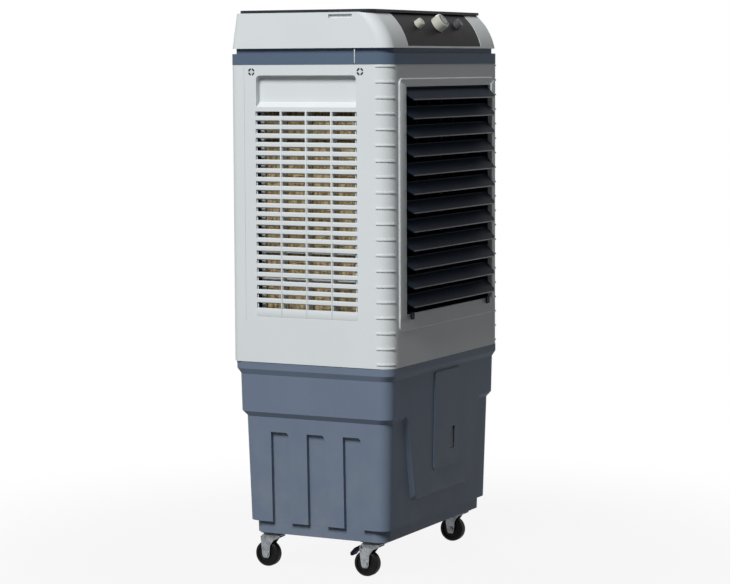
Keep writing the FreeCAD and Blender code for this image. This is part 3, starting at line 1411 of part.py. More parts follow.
def caster_fork(corner):
    """Pressed fork with its kingpin, and the axle bolt as a second solid."""
    name = f"caster_fork_{corner}"
    gauge, trail, axle = S.fork_gauge, S.caster_trail, S.wheel_radius
    inner = S.wheel_width / 2 + 1.5
    crown = rod(f"{name}_crown", S.raceway_radius - 3.0, (0.0, 0.0, FORK_TOP - gauge), gauge)
    braked = CASTERS[corner][1] < 0
    back = trail + 13.0
    ear = [(back, FORK_TOP - 15.0)] if braked else []
    outline = [(-19.0, FORK_TOP), (-17.5, FORK_TOP - 6.0), (-3.0, FORK_TOP - 13.0, 8.0),
               (trail - 10.5, FORK_TOP - 25.0, 10.0), (trail - 8.5, axle - 4.0), (trail - 5.0, axle - 9.0,
                       3.0), (trail + 5.0, axle - 9.0, 3.0),
               (trail + 8.5, axle - 4.0), *ear, (back, FORK_TOP - 6.0), (19.0, FORK_TOP)]
    legs = []
    for side in (-1, 1):
        low, high = (inner, inner + gauge) if side > 0 else (-inner - gauge, -inner)
        legs.append(prism(f"{name}_leg_{side + 1}", "YZ", low, high, outline))
    roof = box(f"{name}_roof", (-inner - 0.5, inner + 0.5), (-19.0, 19.0), (FORK_TOP - gauge, FORK_TOP))
    kingpin = rod(f"{name}_kingpin", S.kingpin_radius, (0.0, 0.0, FORK_TOP - gauge),
                  gauge + S.raceway_height + 1.0)
    reach = inner + gauge + 1.0
    bore = rod(f"{name}_bore", S.axle_radius, (-reach, trail, axle), reach * 2, "x")
    tools = [bore]
    if braked:
        tools.append(rod(f"{name}_brake_bore", 2.0 + S.running_gap,
                         (-reach, brake_place()[0], brake_place()[1]), reach * 2, "x"))
    fork = cut(f"{name}_frame", fuse(f"{name}_pressing", crown, roof, kingpin, *legs), *tools)
    end = inner + gauge
    shank = rod(f"{name}_shank", S.axle_radius, (-end, trail, axle), end * 2, "x")
    head = rod(f"{name}_head", S.axle_radius + 2.5, (-end - 3.0, trail, axle), 3.0, "x")
    nut = rod(f"{name}_nut", S.axle_radius + 2.5, (end, trail, axle), 3.0, "x")
    bolt = fuse(f"{name}_bolt", shank, head, nut)
    across, along = caster_spot(corner)
    return node(name, group(f"{name}_set", fork, bolt), across, along, 0.0)


def caster_wheel(corner):
    """Wheel with a rounded tread and a dished side, turned about its axle."""
    name = f"caster_wheel_{corner}"
    wheel = Bench(name)
    radius, half, bore = S.wheel_radius, S.wheel_width / 2, S.axle_radius + S.running_gap
    wheel.revolve(wheel.sketch("XZ", 0.0, [
        (bore, -half), (9.0, -half), (9.0, -half + 3.0), (radius - 7.0, -half + 3.0), (radius - 7.0, -half),
        (radius - 3.5, -half), (radius - 0.6, -half + 2.0), (radius, -half + 5.0), (radius, half - 5.0),
        (radius - 0.6, half - 2.0), (radius - 3.5, half), (radius - 7.0, half), (radius - 7.0,
                half - 3.0), (9.0, half - 3.0), (9.0, half), (bore, half)]))
    across, along = caster_spot(corner)
    return node(name, wheel.body, across, along + S.caster_trail, S.wheel_radius,
                Rotation(DIRECTIONS["z"], DIRECTIONS["x"]))


def brake_place():
    """The brake lever's pivot: behind the kingpin and above the wheel."""
    return S.caster_trail + 8.0, FORK_TOP - 9.5


def brake_lever(corner):
    """The foot lever over the wheel, drawn about its pivot pin."""
    name = f"brake_lever_{corner}"
    half = S.wheel_width / 2 - 0.5
    tread = prism(f"{name}_tread", "YZ", -half, half, [
        (-4.0, -3.0), (4.0, -4.0), (14.0, -9.0), (23.0, -20.0), (28.0, -20.5, 1.5), (29.0, -14.0, 2.0),
        (19.0, -3.0, 6.0), (6.0, 4.0), (-4.0, 3.5)])
    reach = S.wheel_width / 2 + 1.5 + S.fork_gauge
    pin = rod(f"{name}_pin", 2.0, (-reach, 0.0, 0.0), reach * 2, "x")
    across, along = caster_spot(corner)
    back, height = brake_place()
    return node(name, fuse(f"{name}_whole", tread, pin), across, along + back, height)


def build():
    for make in (water_tank, level_window, drain_plug, front_shell, back_shell, cord_gland, grille_panels,
                 pad_and_retainer, panel_screws, louver_frame, louver_link, vane_link, swing_motor, fan_shroud,
                 fan_motor, fan, pump, riser_pipe, water_tray, collar, hood, control_panel, knobs, rotary_switches,
                 top_lid, caster_plates):
        make()
    for index in range(SIZES["louver_count"]):
        louver(index)
    for index in range(SIZES["vane_count"]):
        vane(index)
    for corner in CASTERS:
        caster_fork(corner)
        caster_wheel(corner)
        if CASTERS[corner][1] < 0:
            brake_lever(corner)


def check():
    """Stop if any object failed, or if a piece is empty or not a sound solid."""
    for thing in doc.Objects:
        if "Invalid" in thing.State or "Error" in thing.State:
            raise RuntimeError(f"{thing.Label} did not recompute: {thing.State}")
    for name, thing in NODES.items():
        shape = thing.Shape
        if shape.isNull() or not shape.isValid() or not shape.Solids:
            raise RuntimeError(f"{name} has no sound solid")


def export():
    os.makedirs("parts", exist_ok=True)
    for name, thing in NODES.items():
        thing.Shape.exportStep(f"parts/{name}.step")


build()
doc.recompute()
check()
export()
print(f"{len(NODES)} pieces written")
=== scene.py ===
"""An evaporative air cooler on casters: finishes, fibre pads, small fittings, floor, light and camera."""

import json
import logging
import math
import random
from collections.abc import Iterable
from dataclasses import dataclass, field
from enum import Enum

import bmesh
import bpy
from bmesh.types import BMEdge, BMesh, BMVert
from bpy.types import Material, NodeSocket, NodeTree, Object
from mathutils import Matrix, Vector
from mathutils.bvhtree import BVHTree


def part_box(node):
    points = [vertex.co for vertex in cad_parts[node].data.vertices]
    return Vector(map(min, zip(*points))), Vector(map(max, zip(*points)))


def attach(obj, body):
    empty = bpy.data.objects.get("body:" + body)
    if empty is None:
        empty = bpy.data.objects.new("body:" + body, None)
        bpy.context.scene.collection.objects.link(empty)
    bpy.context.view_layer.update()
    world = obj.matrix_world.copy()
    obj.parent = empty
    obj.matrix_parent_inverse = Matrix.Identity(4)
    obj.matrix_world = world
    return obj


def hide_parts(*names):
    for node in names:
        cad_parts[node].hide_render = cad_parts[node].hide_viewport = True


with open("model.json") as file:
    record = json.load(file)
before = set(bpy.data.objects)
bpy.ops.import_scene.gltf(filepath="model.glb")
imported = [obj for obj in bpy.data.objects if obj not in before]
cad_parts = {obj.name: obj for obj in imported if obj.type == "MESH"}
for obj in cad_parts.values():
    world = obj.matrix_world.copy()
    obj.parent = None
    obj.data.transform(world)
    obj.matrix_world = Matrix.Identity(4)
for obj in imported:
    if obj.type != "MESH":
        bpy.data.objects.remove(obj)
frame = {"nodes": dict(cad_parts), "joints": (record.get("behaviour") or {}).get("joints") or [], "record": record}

LOG = logging.getLogger("cooler")
SIDES = ("side_panel_left", "rear_panel", "side_panel_right")
# The plain rims beside a grille panel's field, and the rounding of the finest edges, in metres.
NARROW_RIM = 0.026
WIDE_RIM = 0.027
FINE_ROUNDING = 0.0002
# How far out a search for a face starts, and the steps of a turned ring.
PROBE = 0.08
RING_STEPS = 40

Colour = tuple[float, float, float]


def srgb(red: float, green: float, blue: float) -> Colour:
    """Returns a display colour of 0 to 255 as linear light."""
    shares = (value / 255.0 for value in (red, green, blue))
    return tuple(share / 12.92 if share <= 0.04045 else ((share + 0.055) / 1.055) ** 2.4 for share in shares)


@dataclass(frozen=True)
class Wire:
    """An output socket of a tree's nodes, which Python's operators extend with Math nodes.

    Args:
        board: The tree of nodes being made.
        socket: The output that later nodes read.
    """

    board: "Board"
    socket: NodeSocket

    def maths(self, operation: str, other: "Wire | float") -> "Wire":
        """Adds a Math node of some operation on this value and another, and returns its result."""
        return self.board.add("ShaderNodeMath", {"operation": operation}, {0: self, 1: other})

    def __add__(self, other: "Wire | float") -> "Wire":
        """Returns the sum."""
        return self.maths("ADD", other)

    def __mul__(self, other: "Wire | float") -> "Wire":
        """Returns the product."""
        return self.maths("MULTIPLY", other)

    def __pow__(self, other: "Wire | float") -> "Wire":
        """Returns the power."""
        return self.maths("POWER", other)

    def stretch(self, low: float, high: float, start: float = 0.0, end: float = 1.0) -> "Wire":
        """Maps the values from low to high smoothly on those from start to end, and holds them there."""
        values = {0: self, 1: low, 2: high, 3: start, 4: end}
        return self.board.add("ShaderNodeMapRange", {"interpolation_type": "SMOOTHSTEP"}, values)


@dataclass
class Board:
    """A tree of shader nodes under way.

    Args:
        tree: The tree of a material or of the world.
    """

    tree: NodeTree

    def feed(self, socket: NodeSocket, value: object) -> None:
        """Feeds a socket.

        Args:
            socket: An input of a node.
            value: The wire to link to it, or the number, vector or colour to set it to.
        """
        if isinstance(value, Wire):
            self.tree.links.new(value.socket, socket)
        elif socket.type == "RGBA" and len(value) == 3:
            socket.default_value = (*value, 1.0)
        else:
            socket.default_value = value

    def add(self, kind: str, settings: dict, values: dict, output: int | str = 0) -> Wire:
        """Adds one node of any type.

        Args:
            kind: The node's type.
            settings: Its properties, set before its sockets.
            values: What its input sockets hold or are linked to.
            output: The output that the wire reads.

        Returns:
            The chosen output.
        """
        node = self.tree.nodes.new(kind)
        for name, value in settings.items():
            setattr(node, name, value)
        for key, value in values.items():
            self.feed(node.inputs[key], value)
        return Wire(self, node.outputs[output])


class Paint(Board):
    """A material under way: one Principled shader, and the nodes that feed it."""

    def __init__(self, name: str) -> None:
        """Starts a material with its shader and the object's own coordinates.

        Args:
            name: The material's name.
        """
        self.material = bpy.data.materials.new(name)
        self.material.use_nodes = True
        super().__init__(self.material.node_tree)
        self.tree.nodes.clear()
        self.output = self.tree.nodes.new("ShaderNodeOutputMaterial")
        self.shader = self.tree.nodes.new("ShaderNodeBsdfPrincipled")
        self.tree.links.new(self.shader.outputs[0], self.output.inputs[0])
        self.place = self.add("ShaderNodeTexCoord", {}, {}, "Object")

    def noise(
        self, scale: float, detail: float = 2.0, stretch: Colour | None = None, roughness: float = 0.5
    ) -> Wire:
        """Adds noise on the object's own coordinates.

        Args:
            scale: Its waves in a metre.
            detail: Its octaves.
            stretch: Factors along X, Y and Z, for grain that runs one way.
            roughness: The share of each finer octave.

        Returns:
            The noise, from 0 to 1.
        """
        place = self.place
        if stretch:
            values = {"Vector": place, "Scale": stretch}
            place = self.add("ShaderNodeMapping", {"vector_type": "POINT"}, values)
        values = {"Vector": place, "Scale": scale, "Detail": detail, "Roughness": roughness}
        return self.add("ShaderNodeTexNoise", {}, values)

    def cells(self, scale: float) -> Wire:
        """Adds the distance to the nearest of a scatter of cells, in the object's own coordinates."""
        return self.add("ShaderNodeTexVoronoi", {"feature": "F1"}, {"Vector": self.place, "Scale": scale})

    def mix(self, share: "Wire | float", first: "Wire | Colour", second: "Wire | Colour") -> Wire:
        """Mixes two colours by a share of the second."""
        return self.add("ShaderNodeMix", {"data_type": "RGBA"}, {0: share, 6: first, 7: second}, 2)

    def height(self, along: int) -> Wire:
        """Returns one of the object's own coordinates, in metres."""
        return self.add("ShaderNodeSeparateXYZ", {}, {0: self.place}, along)

    def bump(self, relief: Wire, depth: float) -> None:
        """Raises the surface by a relief of 0 to 1 over a depth in metres."""
        normal = self.add("ShaderNodeBump", {}, {"Height": relief, "Distance": depth, "Strength": 1.0})
        self.feed(self.shader.inputs["Normal"], normal)

    def finish(self, **values: object) -> Material:
        """Sets the shader's sockets.

        Args:
            values: What each gets, by the socket's name with underscores for spaces.

        Returns:
            The material.
        """
        for name, value in values.items():
            self.feed(self.shader.inputs[name.replace("_", " ")], value)
        return self.material


def scaled(colour: Colour, factor: float) -> Colour:
    """Returns a colour made lighter or darker, held within 1."""
    return tuple(min(1.0, channel * factor) for channel in colour)


SETTLED_DUST = srgb(168, 164, 156)
TARNISH = srgb(96, 92, 84)


@dataclass(frozen=True)
class Finish:
    """What a piece can be made of.

    Args:
        name: The material's name.
        colour: Its linear colour.
    """

    name: str
    colour: Colour

    def material(self) -> Material:
        """Returns the finish's material, which each kind of finish makes its own way."""
        raise NotImplementedError


@dataclass(frozen=True)
class Moulded(Finish):
    """Injection-moulded plastic with a spark-eroded grain, soft clouding and faint scuffs.

    Args:
        gloss: Its roughness where it is cleanest.
        specular: The strength of its reflection.
        grain: The depth of its grain, in metres.
        clouding: How far its colour wanders.
        dust: The share of dust that settles towards its lowest edge.
    """

    gloss: float = 0.42
    specular: float = 0.4
    grain: float = 0.00003
    clouding: float = 0.05
    dust: float = 0.0

    def material(self) -> Material:
        """Makes the plastic.

        Returns:
            Its material.
        """
        paint = Paint(self.name)
        cloud = paint.noise(5.0, 3.0)
        speckle = paint.noise(420.0, 2.0)
        streak = paint.noise(38.0, 4.0, (1.0, 1.0, 0.08))
        fine = speckle.stretch(0.35, 0.65) * 0.25
        tone = cloud.stretch(0.3, 0.7) * 0.6 + fine + streak.stretch(0.35, 0.65) * 0.15
        low = scaled(self.colour, 1.0 - self.clouding)
        high = scaled(self.colour, 1.0 + self.clouding)
        colour = paint.mix(tone, low, high)
        if self.dust:
            patches = paint.noise(22.0, 5.0).stretch(0.35, 0.75)
            settled = paint.height(2).stretch(0.42, 0.06) * patches * self.dust
            colour = paint.mix(settled, colour, SETTLED_DUST)
        scuff = paint.noise(70.0, 6.0, (0.12, 0.9, 1.0), 0.7).stretch(0.66, 0.74)
        rough = cloud * 0.08 + scuff * 0.12 + speckle * 0.05 + self.gloss
        paint.bump(paint.noise(1500.0, 3.0) * 0.75 + paint.noise(210.0, 2.0) * 0.25, self.grain)
        return paint.finish(Base_Color=colour, Roughness=rough, Specular_IOR_Level=self.specular)


@dataclass(frozen=True)
class Plated(Finish):
    """Zinc-plated or blackened pressed steel, with a crystalline bloom and rolling marks.

    Args:
        dull: The linear colour of its duller crystals.
        metal: How metallic it is.
        gloss: Its roughness where it is brightest.
    """

    dull: Colour
    metal: float = 0.9
    gloss: float = 0.26

    def material(self) -> Material:
        """Makes the steel.

        Returns:
            Its material.
        """
        paint = Paint(self.name)
        crystal = paint.cells(420.0)
        bloom = paint.noise(60.0, 5.0)
        rolled = paint.noise(160.0, 3.0, (1.0, 1.0, 0.07))
        tone = (crystal.stretch(0.1, 0.8) + bloom.stretch(0.35, 0.7)) * 0.5
        spots = paint.noise(95.0, 6.0, None, 0.65).stretch(0.62, 0.7)
        colour = paint.mix(spots * 0.35, paint.mix(tone, self.colour, self.dull), TARNISH)
        rough = tone * 0.14 + spots * 0.2 + rolled * 0.08 + self.gloss
        paint.bump(crystal * 0.5 + rolled * 0.5, 0.00005)
        return paint.finish(Base_Color=colour, Roughness=rough, Metallic=spots * -0.35 + self.metal)


@dataclass(frozen=True)
class WoodWool(Finish):
    """Shaved aspen strands: straw-coloured, paler on their faces and brown where they have soaked.

    Args:
        straw: The linear colour of most strands. The material's own colour is that of dry ones.
        soaked: The linear colour of water marks.
    """

    straw: Colour
    soaked: Colour

    def material(self) -> Material:
        """Makes the strands.

        Returns:
            Their material.
        """
        paint = Paint(self.name)
        strand = paint.noise(90.0, 4.0, (1.0, 1.6, 0.7), 0.6)
        shave = paint.noise(620.0, 3.0)
        stain = paint.noise(9.0, 3.0)
        colour = paint.mix(strand.stretch(0.38, 0.62), self.straw, self.colour)
        wet = stain.stretch(0.5, 0.72) * 0.55 + shave.stretch(0.5, 0.8) * 0.25
        colour = paint.mix(wet, colour, self.soaked)
        paint.bump(shave * 0.6 + strand * 0.4, 0.0004)
        return paint.finish(Base_Color=colour, Roughness=shave * 0.12 + 0.82, Specular_IOR_Level=0.2)


@dataclass(frozen=True)
class Rubber(Finish):
    """Hard black caster tread, scuffed grey where it rolls.

    Args:
        worn: The linear colour of the scuffed band.
    """

    worn: Colour

    def material(self) -> Material:
        """Makes the tread.

        Returns:
            Its material.
        """
        paint = Paint(self.name)
        grit = paint.noise(900.0, 4.0)
        rub = paint.noise(150.0, 5.0, (0.3, 1.0, 1.0), 0.65)
        low = paint.height(2).stretch(0.012, 0.0)
        colour = paint.mix((rub.stretch(0.45, 0.75) * 0.5 + low * 0.25) * grit, self.colour, self.worn)
        paint.bump(grit, 0.00012)
        return paint.finish(Base_Color=colour, Roughness=rub * 0.2 + 0.42, Specular_IOR_Level=0.14)


@dataclass(frozen=True)
class ClearPlastic(Finish):
    """The level window's clear plastic, hazed by hard water."""

    def material(self) -> Material:
        """Makes the window.

        Returns:
            Its material.
        """
        paint = Paint(self.name)
        haze = paint.noise(140.0, 5.0, (1.0, 1.0, 0.35), 0.6)
        colour = paint.mix(haze.stretch(0.35, 0.7), self.colour, scaled(self.colour, 1.5))
        paint.bump(haze, 0.00005)
        return paint.finish(
            Base_Color=colour, Roughness=haze * 0.22 + 0.16, Transmission_Weight=0.06, IOR=1.49,
            Specular_IOR_Level=0.1)


class Slot(Enum):
    """The record's material slots."""

    SHELL = "grey_shell"
    TANK = "slate_tank"
    COLLAR = "slate_collar"
    LID = "dark_lid"
    BLACK = "black_plastic"
    PANEL = "panel_black"
    WINDOW = "clear_window"
    FIBRE = "pad_fibre"
    ZINC = "zinc"
    TREAD = "caster_tread"
    KNOB_LIGHT = "knob_light"
    KNOB_DARK = "knob_dark"
    MOTOR = "motor_grey"
    BLACKENED = "black_zinc"
    FAN = "fan_grey"
    PIPE = "pipe_grey"
    SCREW = "screw_steel"
    TRAY = "tray_white"
    STEEL_BLACK = "black_steel"


FINISHES: dict[Slot, Finish] = {
    Slot.SHELL: Moulded("pale grey shell", srgb(213, 218, 220), specular=0.14, clouding=0.02),
    Slot.TANK: Moulded("slate blue tank", srgb(107, 120, 138), specular=0.1, grain=0.00005, dust=0.12),
    Slot.COLLAR: Moulded("slate blue collar", srgb(88, 103, 122), gloss=0.4, specular=0.08),
    Slot.LID: Moulded("dark lid", srgb(46, 50, 57), gloss=0.4, specular=0.1),
    Slot.BLACK: Moulded("blue-black plastic", srgb(17, 26, 38), gloss=0.44, specular=0.04),
    Slot.PANEL: Moulded("satin black panel", srgb(32, 31, 34), gloss=0.36, specular=0.06, grain=0.00002),
    Slot.WINDOW: ClearPlastic("smoked window", srgb(32, 35, 40)),
    Slot.FIBRE: WoodWool("wood wool", srgb(216, 196, 150), srgb(148, 125, 86), srgb(88, 71, 46)),
    Slot.ZINC: Plated("zinc plate", srgb(176, 180, 184), srgb(104, 108, 113), 0.5, 0.24),
    Slot.TREAD: Rubber("black tread", srgb(11, 11, 13), srgb(46, 46, 48)),
    Slot.KNOB_LIGHT: Moulded("pale knob", srgb(186, 186, 176), gloss=0.36),
    Slot.KNOB_DARK: Moulded("dark knob", srgb(74, 75, 78), gloss=0.36, specular=0.3),
    Slot.MOTOR: Plated("motor casting", srgb(150, 152, 155), srgb(112, 115, 119), 0.55, 0.4),
    Slot.BLACKENED: Moulded("pump black", srgb(24, 25, 28), gloss=0.38, specular=0.14),
    Slot.FAN: Moulded("fan grey", srgb(96, 103, 112), gloss=0.34),
    Slot.PIPE: Moulded("pipe grey", srgb(150, 153, 152), gloss=0.4),
    Slot.SCREW: Plated("screw steel", srgb(222, 224, 226), srgb(190, 193, 196), 0.2, 0.32),
    Slot.TRAY: Moulded("tray white", srgb(222, 225, 223), clouding=0.03),
    Slot.STEEL_BLACK: Plated("black enamel", srgb(30, 31, 34), srgb(22, 23, 25), 0.15, 0.3),
}


class Wardrobe:
    """Makes each finish once and puts it on pieces."""

    def __init__(self) -> None:
        """Makes every finish."""
        self.made = {slot: finish.material() for slot, finish in FINISHES.items()}

    def dress(self, piece: Object, slot: Slot) -> None:
        """Gives every face of a piece one finish."""
        piece.data.materials.clear()
        piece.data.materials.append(self.made[slot])

    def dress_nodes(self) -> None:
        """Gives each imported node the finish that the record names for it."""
        for row in frame["record"]["subparts"]:
            self.dress(frame["nodes"][row["node"]], Slot(row["material_slot"]))


def piece_from(name: str, mesh: BMesh, smooth: float) -> Object:
    """Makes a scene object of a finished bmesh and frees the bmesh.

    Args:
        name: The piece's name.
        mesh: Its shape, in metres in the object's frame.
        smooth: The widest angle between faces that is shaded smoothly.

    Returns:
        The new object, at the origin.
    """
    bmesh.ops.recalc_face_normals(mesh, faces=mesh.faces)
    for face in mesh.faces:
        face.smooth = True
    for edge in mesh.edges:
        edge.smooth = edge.is_manifold and edge.calc_face_angle(math.pi) < smooth
    data = bpy.data.meshes.new(name)
    mesh.to_mesh(data)
    mesh.free()
    piece = bpy.data.objects.new(name, data)
    bpy.context.scene.collection.objects.link(piece)
    return piece


def joint_place(name: str) -> tuple[Vector, Vector]:
    """Returns a joint's anchor in metres and the direction of its axis."""
    row = next(joint for joint in frame["joints"] if joint["name"] == name)
    return Vector(row["pos_m"]), Vector(row["axis"]).normalized()


def stand(place: Vector, across: Vector, out: Vector) -> Matrix:
    """Returns the frame at a place that has X across and Z out."""
    return Matrix.Translation(place) @ Matrix((across, out.cross(across), out)).transposed().to_4x4()


def surface_of(node: str) -> BVHTree:
    """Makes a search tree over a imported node's faces, to seat small pieces on it.

    Args:
        node: The node's name.

    Returns:
        The tree.
    """
    data = frame["nodes"][node].data
    places = [vertex.co for vertex in data.vertices]
    return BVHTree.FromPolygons(places, [face.vertices for face in data.polygons])


def islands(node: str) -> list[tuple[Vector, Vector]]:
    """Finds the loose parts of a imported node.

    Args:
        node: The node's name.

    Returns:
        Each part's lowest and highest corner, from left to right.
    """
    mesh = bmesh.new()
    mesh.from_mesh(frame["nodes"][node].data)
    bmesh.ops.remove_doubles(mesh, verts=mesh.verts, dist=0.00001)
    left, found = set(mesh.verts), []
    while left:
        island, front = set(), {next(iter(left))}
        while front:
            island |= front
            front = {edge.other_vert(vertex) for vertex in front for edge in vertex.link_edges} - island
        left -= island
        places = [vertex.co for vertex in island]
        found.append((
            Vector(min(place[axis] for place in places) for axis in range(3)),
            Vector(max(place[axis] for place in places) for axis in range(3)),
        ))
    mesh.free()
    return sorted(found, key=lambda box: (round(box[0].x, 3), round(box[0].y, 3)))


def edges_at(corners: Iterable[BMVert]) -> list[BMEdge]:
    """Returns the edges that meet at some corners, each once and always in the same order."""
    return list(dict.fromkeys(edge for corner in corners for edge in corner.link_edges))


def rounded(mesh: BMesh, corners: Iterable[BMVert], radius: float) -> None:
    """Rounds all edges that meet at some corners of a bmesh."""
    bmesh.ops.bevel(
        mesh, geom=edges_at(corners), offset=radius, affect="EDGES", segments=2, profile=0.5, material=-1,
        clamp_overlap=True)


def bead(mesh: BMesh, place: Matrix, size: Vector, radius: float) -> None:
    """Adds one rounded block.

    Args:
        mesh: The bmesh that it joins.
        place: Where its middle is and how it is turned.
        size: Its size along its own axes, in metres.
        radius: The rounding of its edges.
    """
    made = bmesh.ops.create_cube(mesh, size=1.0, matrix=place @ Matrix.Diagonal((*size, 1.0)))
    rounded(mesh, made["verts"], radius)


def block(mesh: BMesh, low: Vector, high: Vector, radius: float, ends: dict[int, Iterable[float]]) -> None:
    """Adds a rounded block that fills a box, but reaches from end to end along some axes.

    Args:
        mesh: The bmesh that it joins.
        low: The box's lowest corner.
        high: The box's highest corner.
        radius: The rounding of the block's edges.
        ends: Both ends along each of those axes.
    """
    foot, head = low.copy(), high.copy()
    for axis, places in ends.items():
        foot[axis], head[axis] = sorted(places)
    bead(mesh, Matrix.Translation((foot + head) / 2.0), head - foot, radius)


def ring(mesh: BMesh, place: Matrix, inner: float, outer: float, thick: float) -> None:
    """Adds a flat ring round a place's Z axis.

    Args:
        mesh: The bmesh that it joins.
        place: The middle of its lower face, and how it is turned.
        inner: Its inner radius.
        outer: Its outer radius.
        thick: Its height along Z.
    """
    section = ((inner, 0.0), (outer, 0.0), (outer, thick), (inner, thick))
    spokes = []
    for step in range(RING_STEPS):
        turned = place @ Matrix.Rotation(2.0 * math.pi * step / RING_STEPS, 4, "Z")
        spokes.append([mesh.verts.new(turned @ Vector((out, 0.0, height))) for out, height in section])
    for near, far in zip(spokes, spokes[1:] + spokes[:1], strict=True):
        for corner in range(len(section)):
            mesh.faces.new((near[corner - 1], near[corner], far[corner], far[corner - 1]))


@dataclass
class Maker:
    """Makes pieces and puts them on the part.

    Args:
        wardrobe: The finishes.
        rounding: The rounding of the pieces' edges, in metres.
    """

    wardrobe: Wardrobe
    rounding: float = 0.0005

    def fit(
        self, name: str, mesh: BMesh, slot: Slot, body: str = "cabinet", smooth: float = math.radians(35.0)
    ) -> Object:
        """Makes a piece of a finished bmesh, dresses it and lets it move with a body.

        Args:
            name: The piece's name.
            mesh: Its shape, in metres in the object's frame.
            slot: Its finish.
            body: The body that it rides on.
            smooth: The widest angle between faces that is shaded smoothly.

        Returns:
            The piece.
        """
        piece = piece_from(name, mesh, smooth)
        self.wardrobe.dress(piece, slot)
        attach(piece, body)
        LOG.info("%s: %d faces", name, len(piece.data.polygons))
        return piece


@dataclass
class FibrePads(Maker):
    """The three wood-wool pads behind the grilles, each a felted core with loose strands over it.

    Args:
        strands: The strands in a square metre of pad face.
        thickness: A strand's half width, in metres.
        chance: The seeded random lie of the strands.
        felt: The share of the pad's box that the core fills along each side.
        cover: How much thinner the core is still.
        cut_edge: The least length of the core's edges that are cut.
        cuts: How often they are cut.
        lump: How far the core's faces wander.
        margin: How far the strands stay inside the pad's box.
        scatter: How far two strands in three lie behind the face, and how far the third does.
        knots: The fewest and the most points of a strand.
        step: The shortest and the longest way between two of them.
        rise: The share of a step's rise that is kept.
        curl: The spread of a strand's first direction, of its steady turn and of its turn at a point.
        lift: How far a point wanders in or out.
    """

    strands: float = 5200.0
    thickness: float = 0.0006
    chance: random.Random = field(default_factory=lambda: random.Random(7))
    felt: float = 0.98
    cover: float = 0.007
    cut_edge: float = 0.05
    cuts: int = 34
    lump: float = 0.0014
    margin: float = 0.0015
    scatter: tuple[float, float] = (0.0016, 0.004)
    knots: tuple[int, int] = (5, 8)
    step: tuple[float, float] = (0.010, 0.022)
    rise: float = 0.8
    curl: tuple[float, float, float] = (0.9, 0.5, 0.28)
    lift: float = 0.0012

    def core(self, low: Vector, high: Vector) -> BMesh:
        """Makes the felted core of one pad, with lumpy faces.

        Args:
            low: The pad's lowest corner.
            high: The pad's highest corner.

        Returns:
            The core's bmesh.
        """
        mesh = bmesh.new()
        middle, size = (low + high) / 2.0, (high - low) * self.felt
        thin = min(range(3), key=lambda axis: size[axis])
        size[thin] -= self.cover
        bmesh.ops.create_cube(
            mesh, size=1.0, matrix=Matrix.Translation(middle) @ Matrix.Diagonal((*size, 1.0)))
        long_edges = [edge for edge in mesh.edges if edge.calc_length() > self.cut_edge]
        bmesh.ops.subdivide_edges(mesh, edges=long_edges, cuts=self.cuts, use_grid_fill=True)
        for vertex in mesh.verts:
            vertex.co[thin] += self.chance.uniform(-self.lump, self.lump)
        return mesh

    def strand_curve(self, name: str, low: Vector, high: Vector) -> Object:
        """Lays curled strands over both faces of one pad.

        Args:
            name: The curve's name.
            low: The pad's lowest corner.
            high: The pad's highest corner.

        Returns:
            A curve object with one smooth spline for each strand.
        """
        thin = min(range(3), key=lambda axis: high[axis] - low[axis])
        across, up = (axis for axis in range(3) if axis != thin)
        inner = Vector([self.margin] * 3)
        floor, roof = low + inner, high - inner
        curve = bpy.data.curves.new(name, "CURVE")
        curve.dimensions = "3D"
        curve.bevel_depth = self.thickness
        curve.bevel_resolution = 0
        curve.resolution_u = 2
        area = (high[across] - low[across]) * (high[up] - low[up])
        first, steady, sudden = self.curl
        for index in range(int(area * self.strands)):
            face, way = (floor[thin], 1.0) if index % 2 else (roof[thin], -1.0)
            spread = self.scatter[0] if index % 3 else self.scatter[1]
            point = Vector((0.0, 0.0, 0.0))
            point[thin] = face + way * abs(self.chance.gauss(0.0, spread))
            point[across] = self.chance.uniform(floor[across], roof[across])
            point[up] = self.chance.uniform(floor[up], roof[up])
            heading = self.chance.gauss(0.0, first)
            turn = self.chance.gauss(0.0, steady)
            spline = curve.splines.new("NURBS")
            spline.points.add(self.chance.randint(*self.knots) - 1)
            for knot in spline.points:
                for axis in range(3):
                    point[axis] = min(max(point[axis], floor[axis]), roof[axis])
                knot.co = (*point, 1.0)
                step = self.chance.uniform(*self.step)
                heading += turn + self.chance.gauss(0.0, sudden)
                point[across] += step * math.cos(heading)
                point[up] += step * math.sin(heading) * self.rise
                point[thin] += self.chance.uniform(-self.lift, self.lift)
            spline.order_u = 3
            spline.use_endpoint_u = True
        piece = bpy.data.objects.new(name, curve)
        bpy.context.scene.collection.objects.link(piece)
        return piece

    def build(self) -> None:
        """Builds the pads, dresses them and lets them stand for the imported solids."""
        names = ("pad_left", "pad_rear", "pad_right")
        for name, (low, high) in zip(names, islands("cooling_pads"), strict=True):
            strands = self.strand_curve(name + "_strands", low, high)
            bpy.context.view_layer.update()
            mesh = self.core(low, high)
            graph = bpy.context.evaluated_depsgraph_get()
            mesh.from_mesh(bpy.data.meshes.new_from_object(strands.evaluated_get(graph)))
            bpy.data.objects.remove(strands)
            pad = self.fit(name, mesh, Slot.FIBRE, smooth=math.radians(60.0))
            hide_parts("cooling_pads")


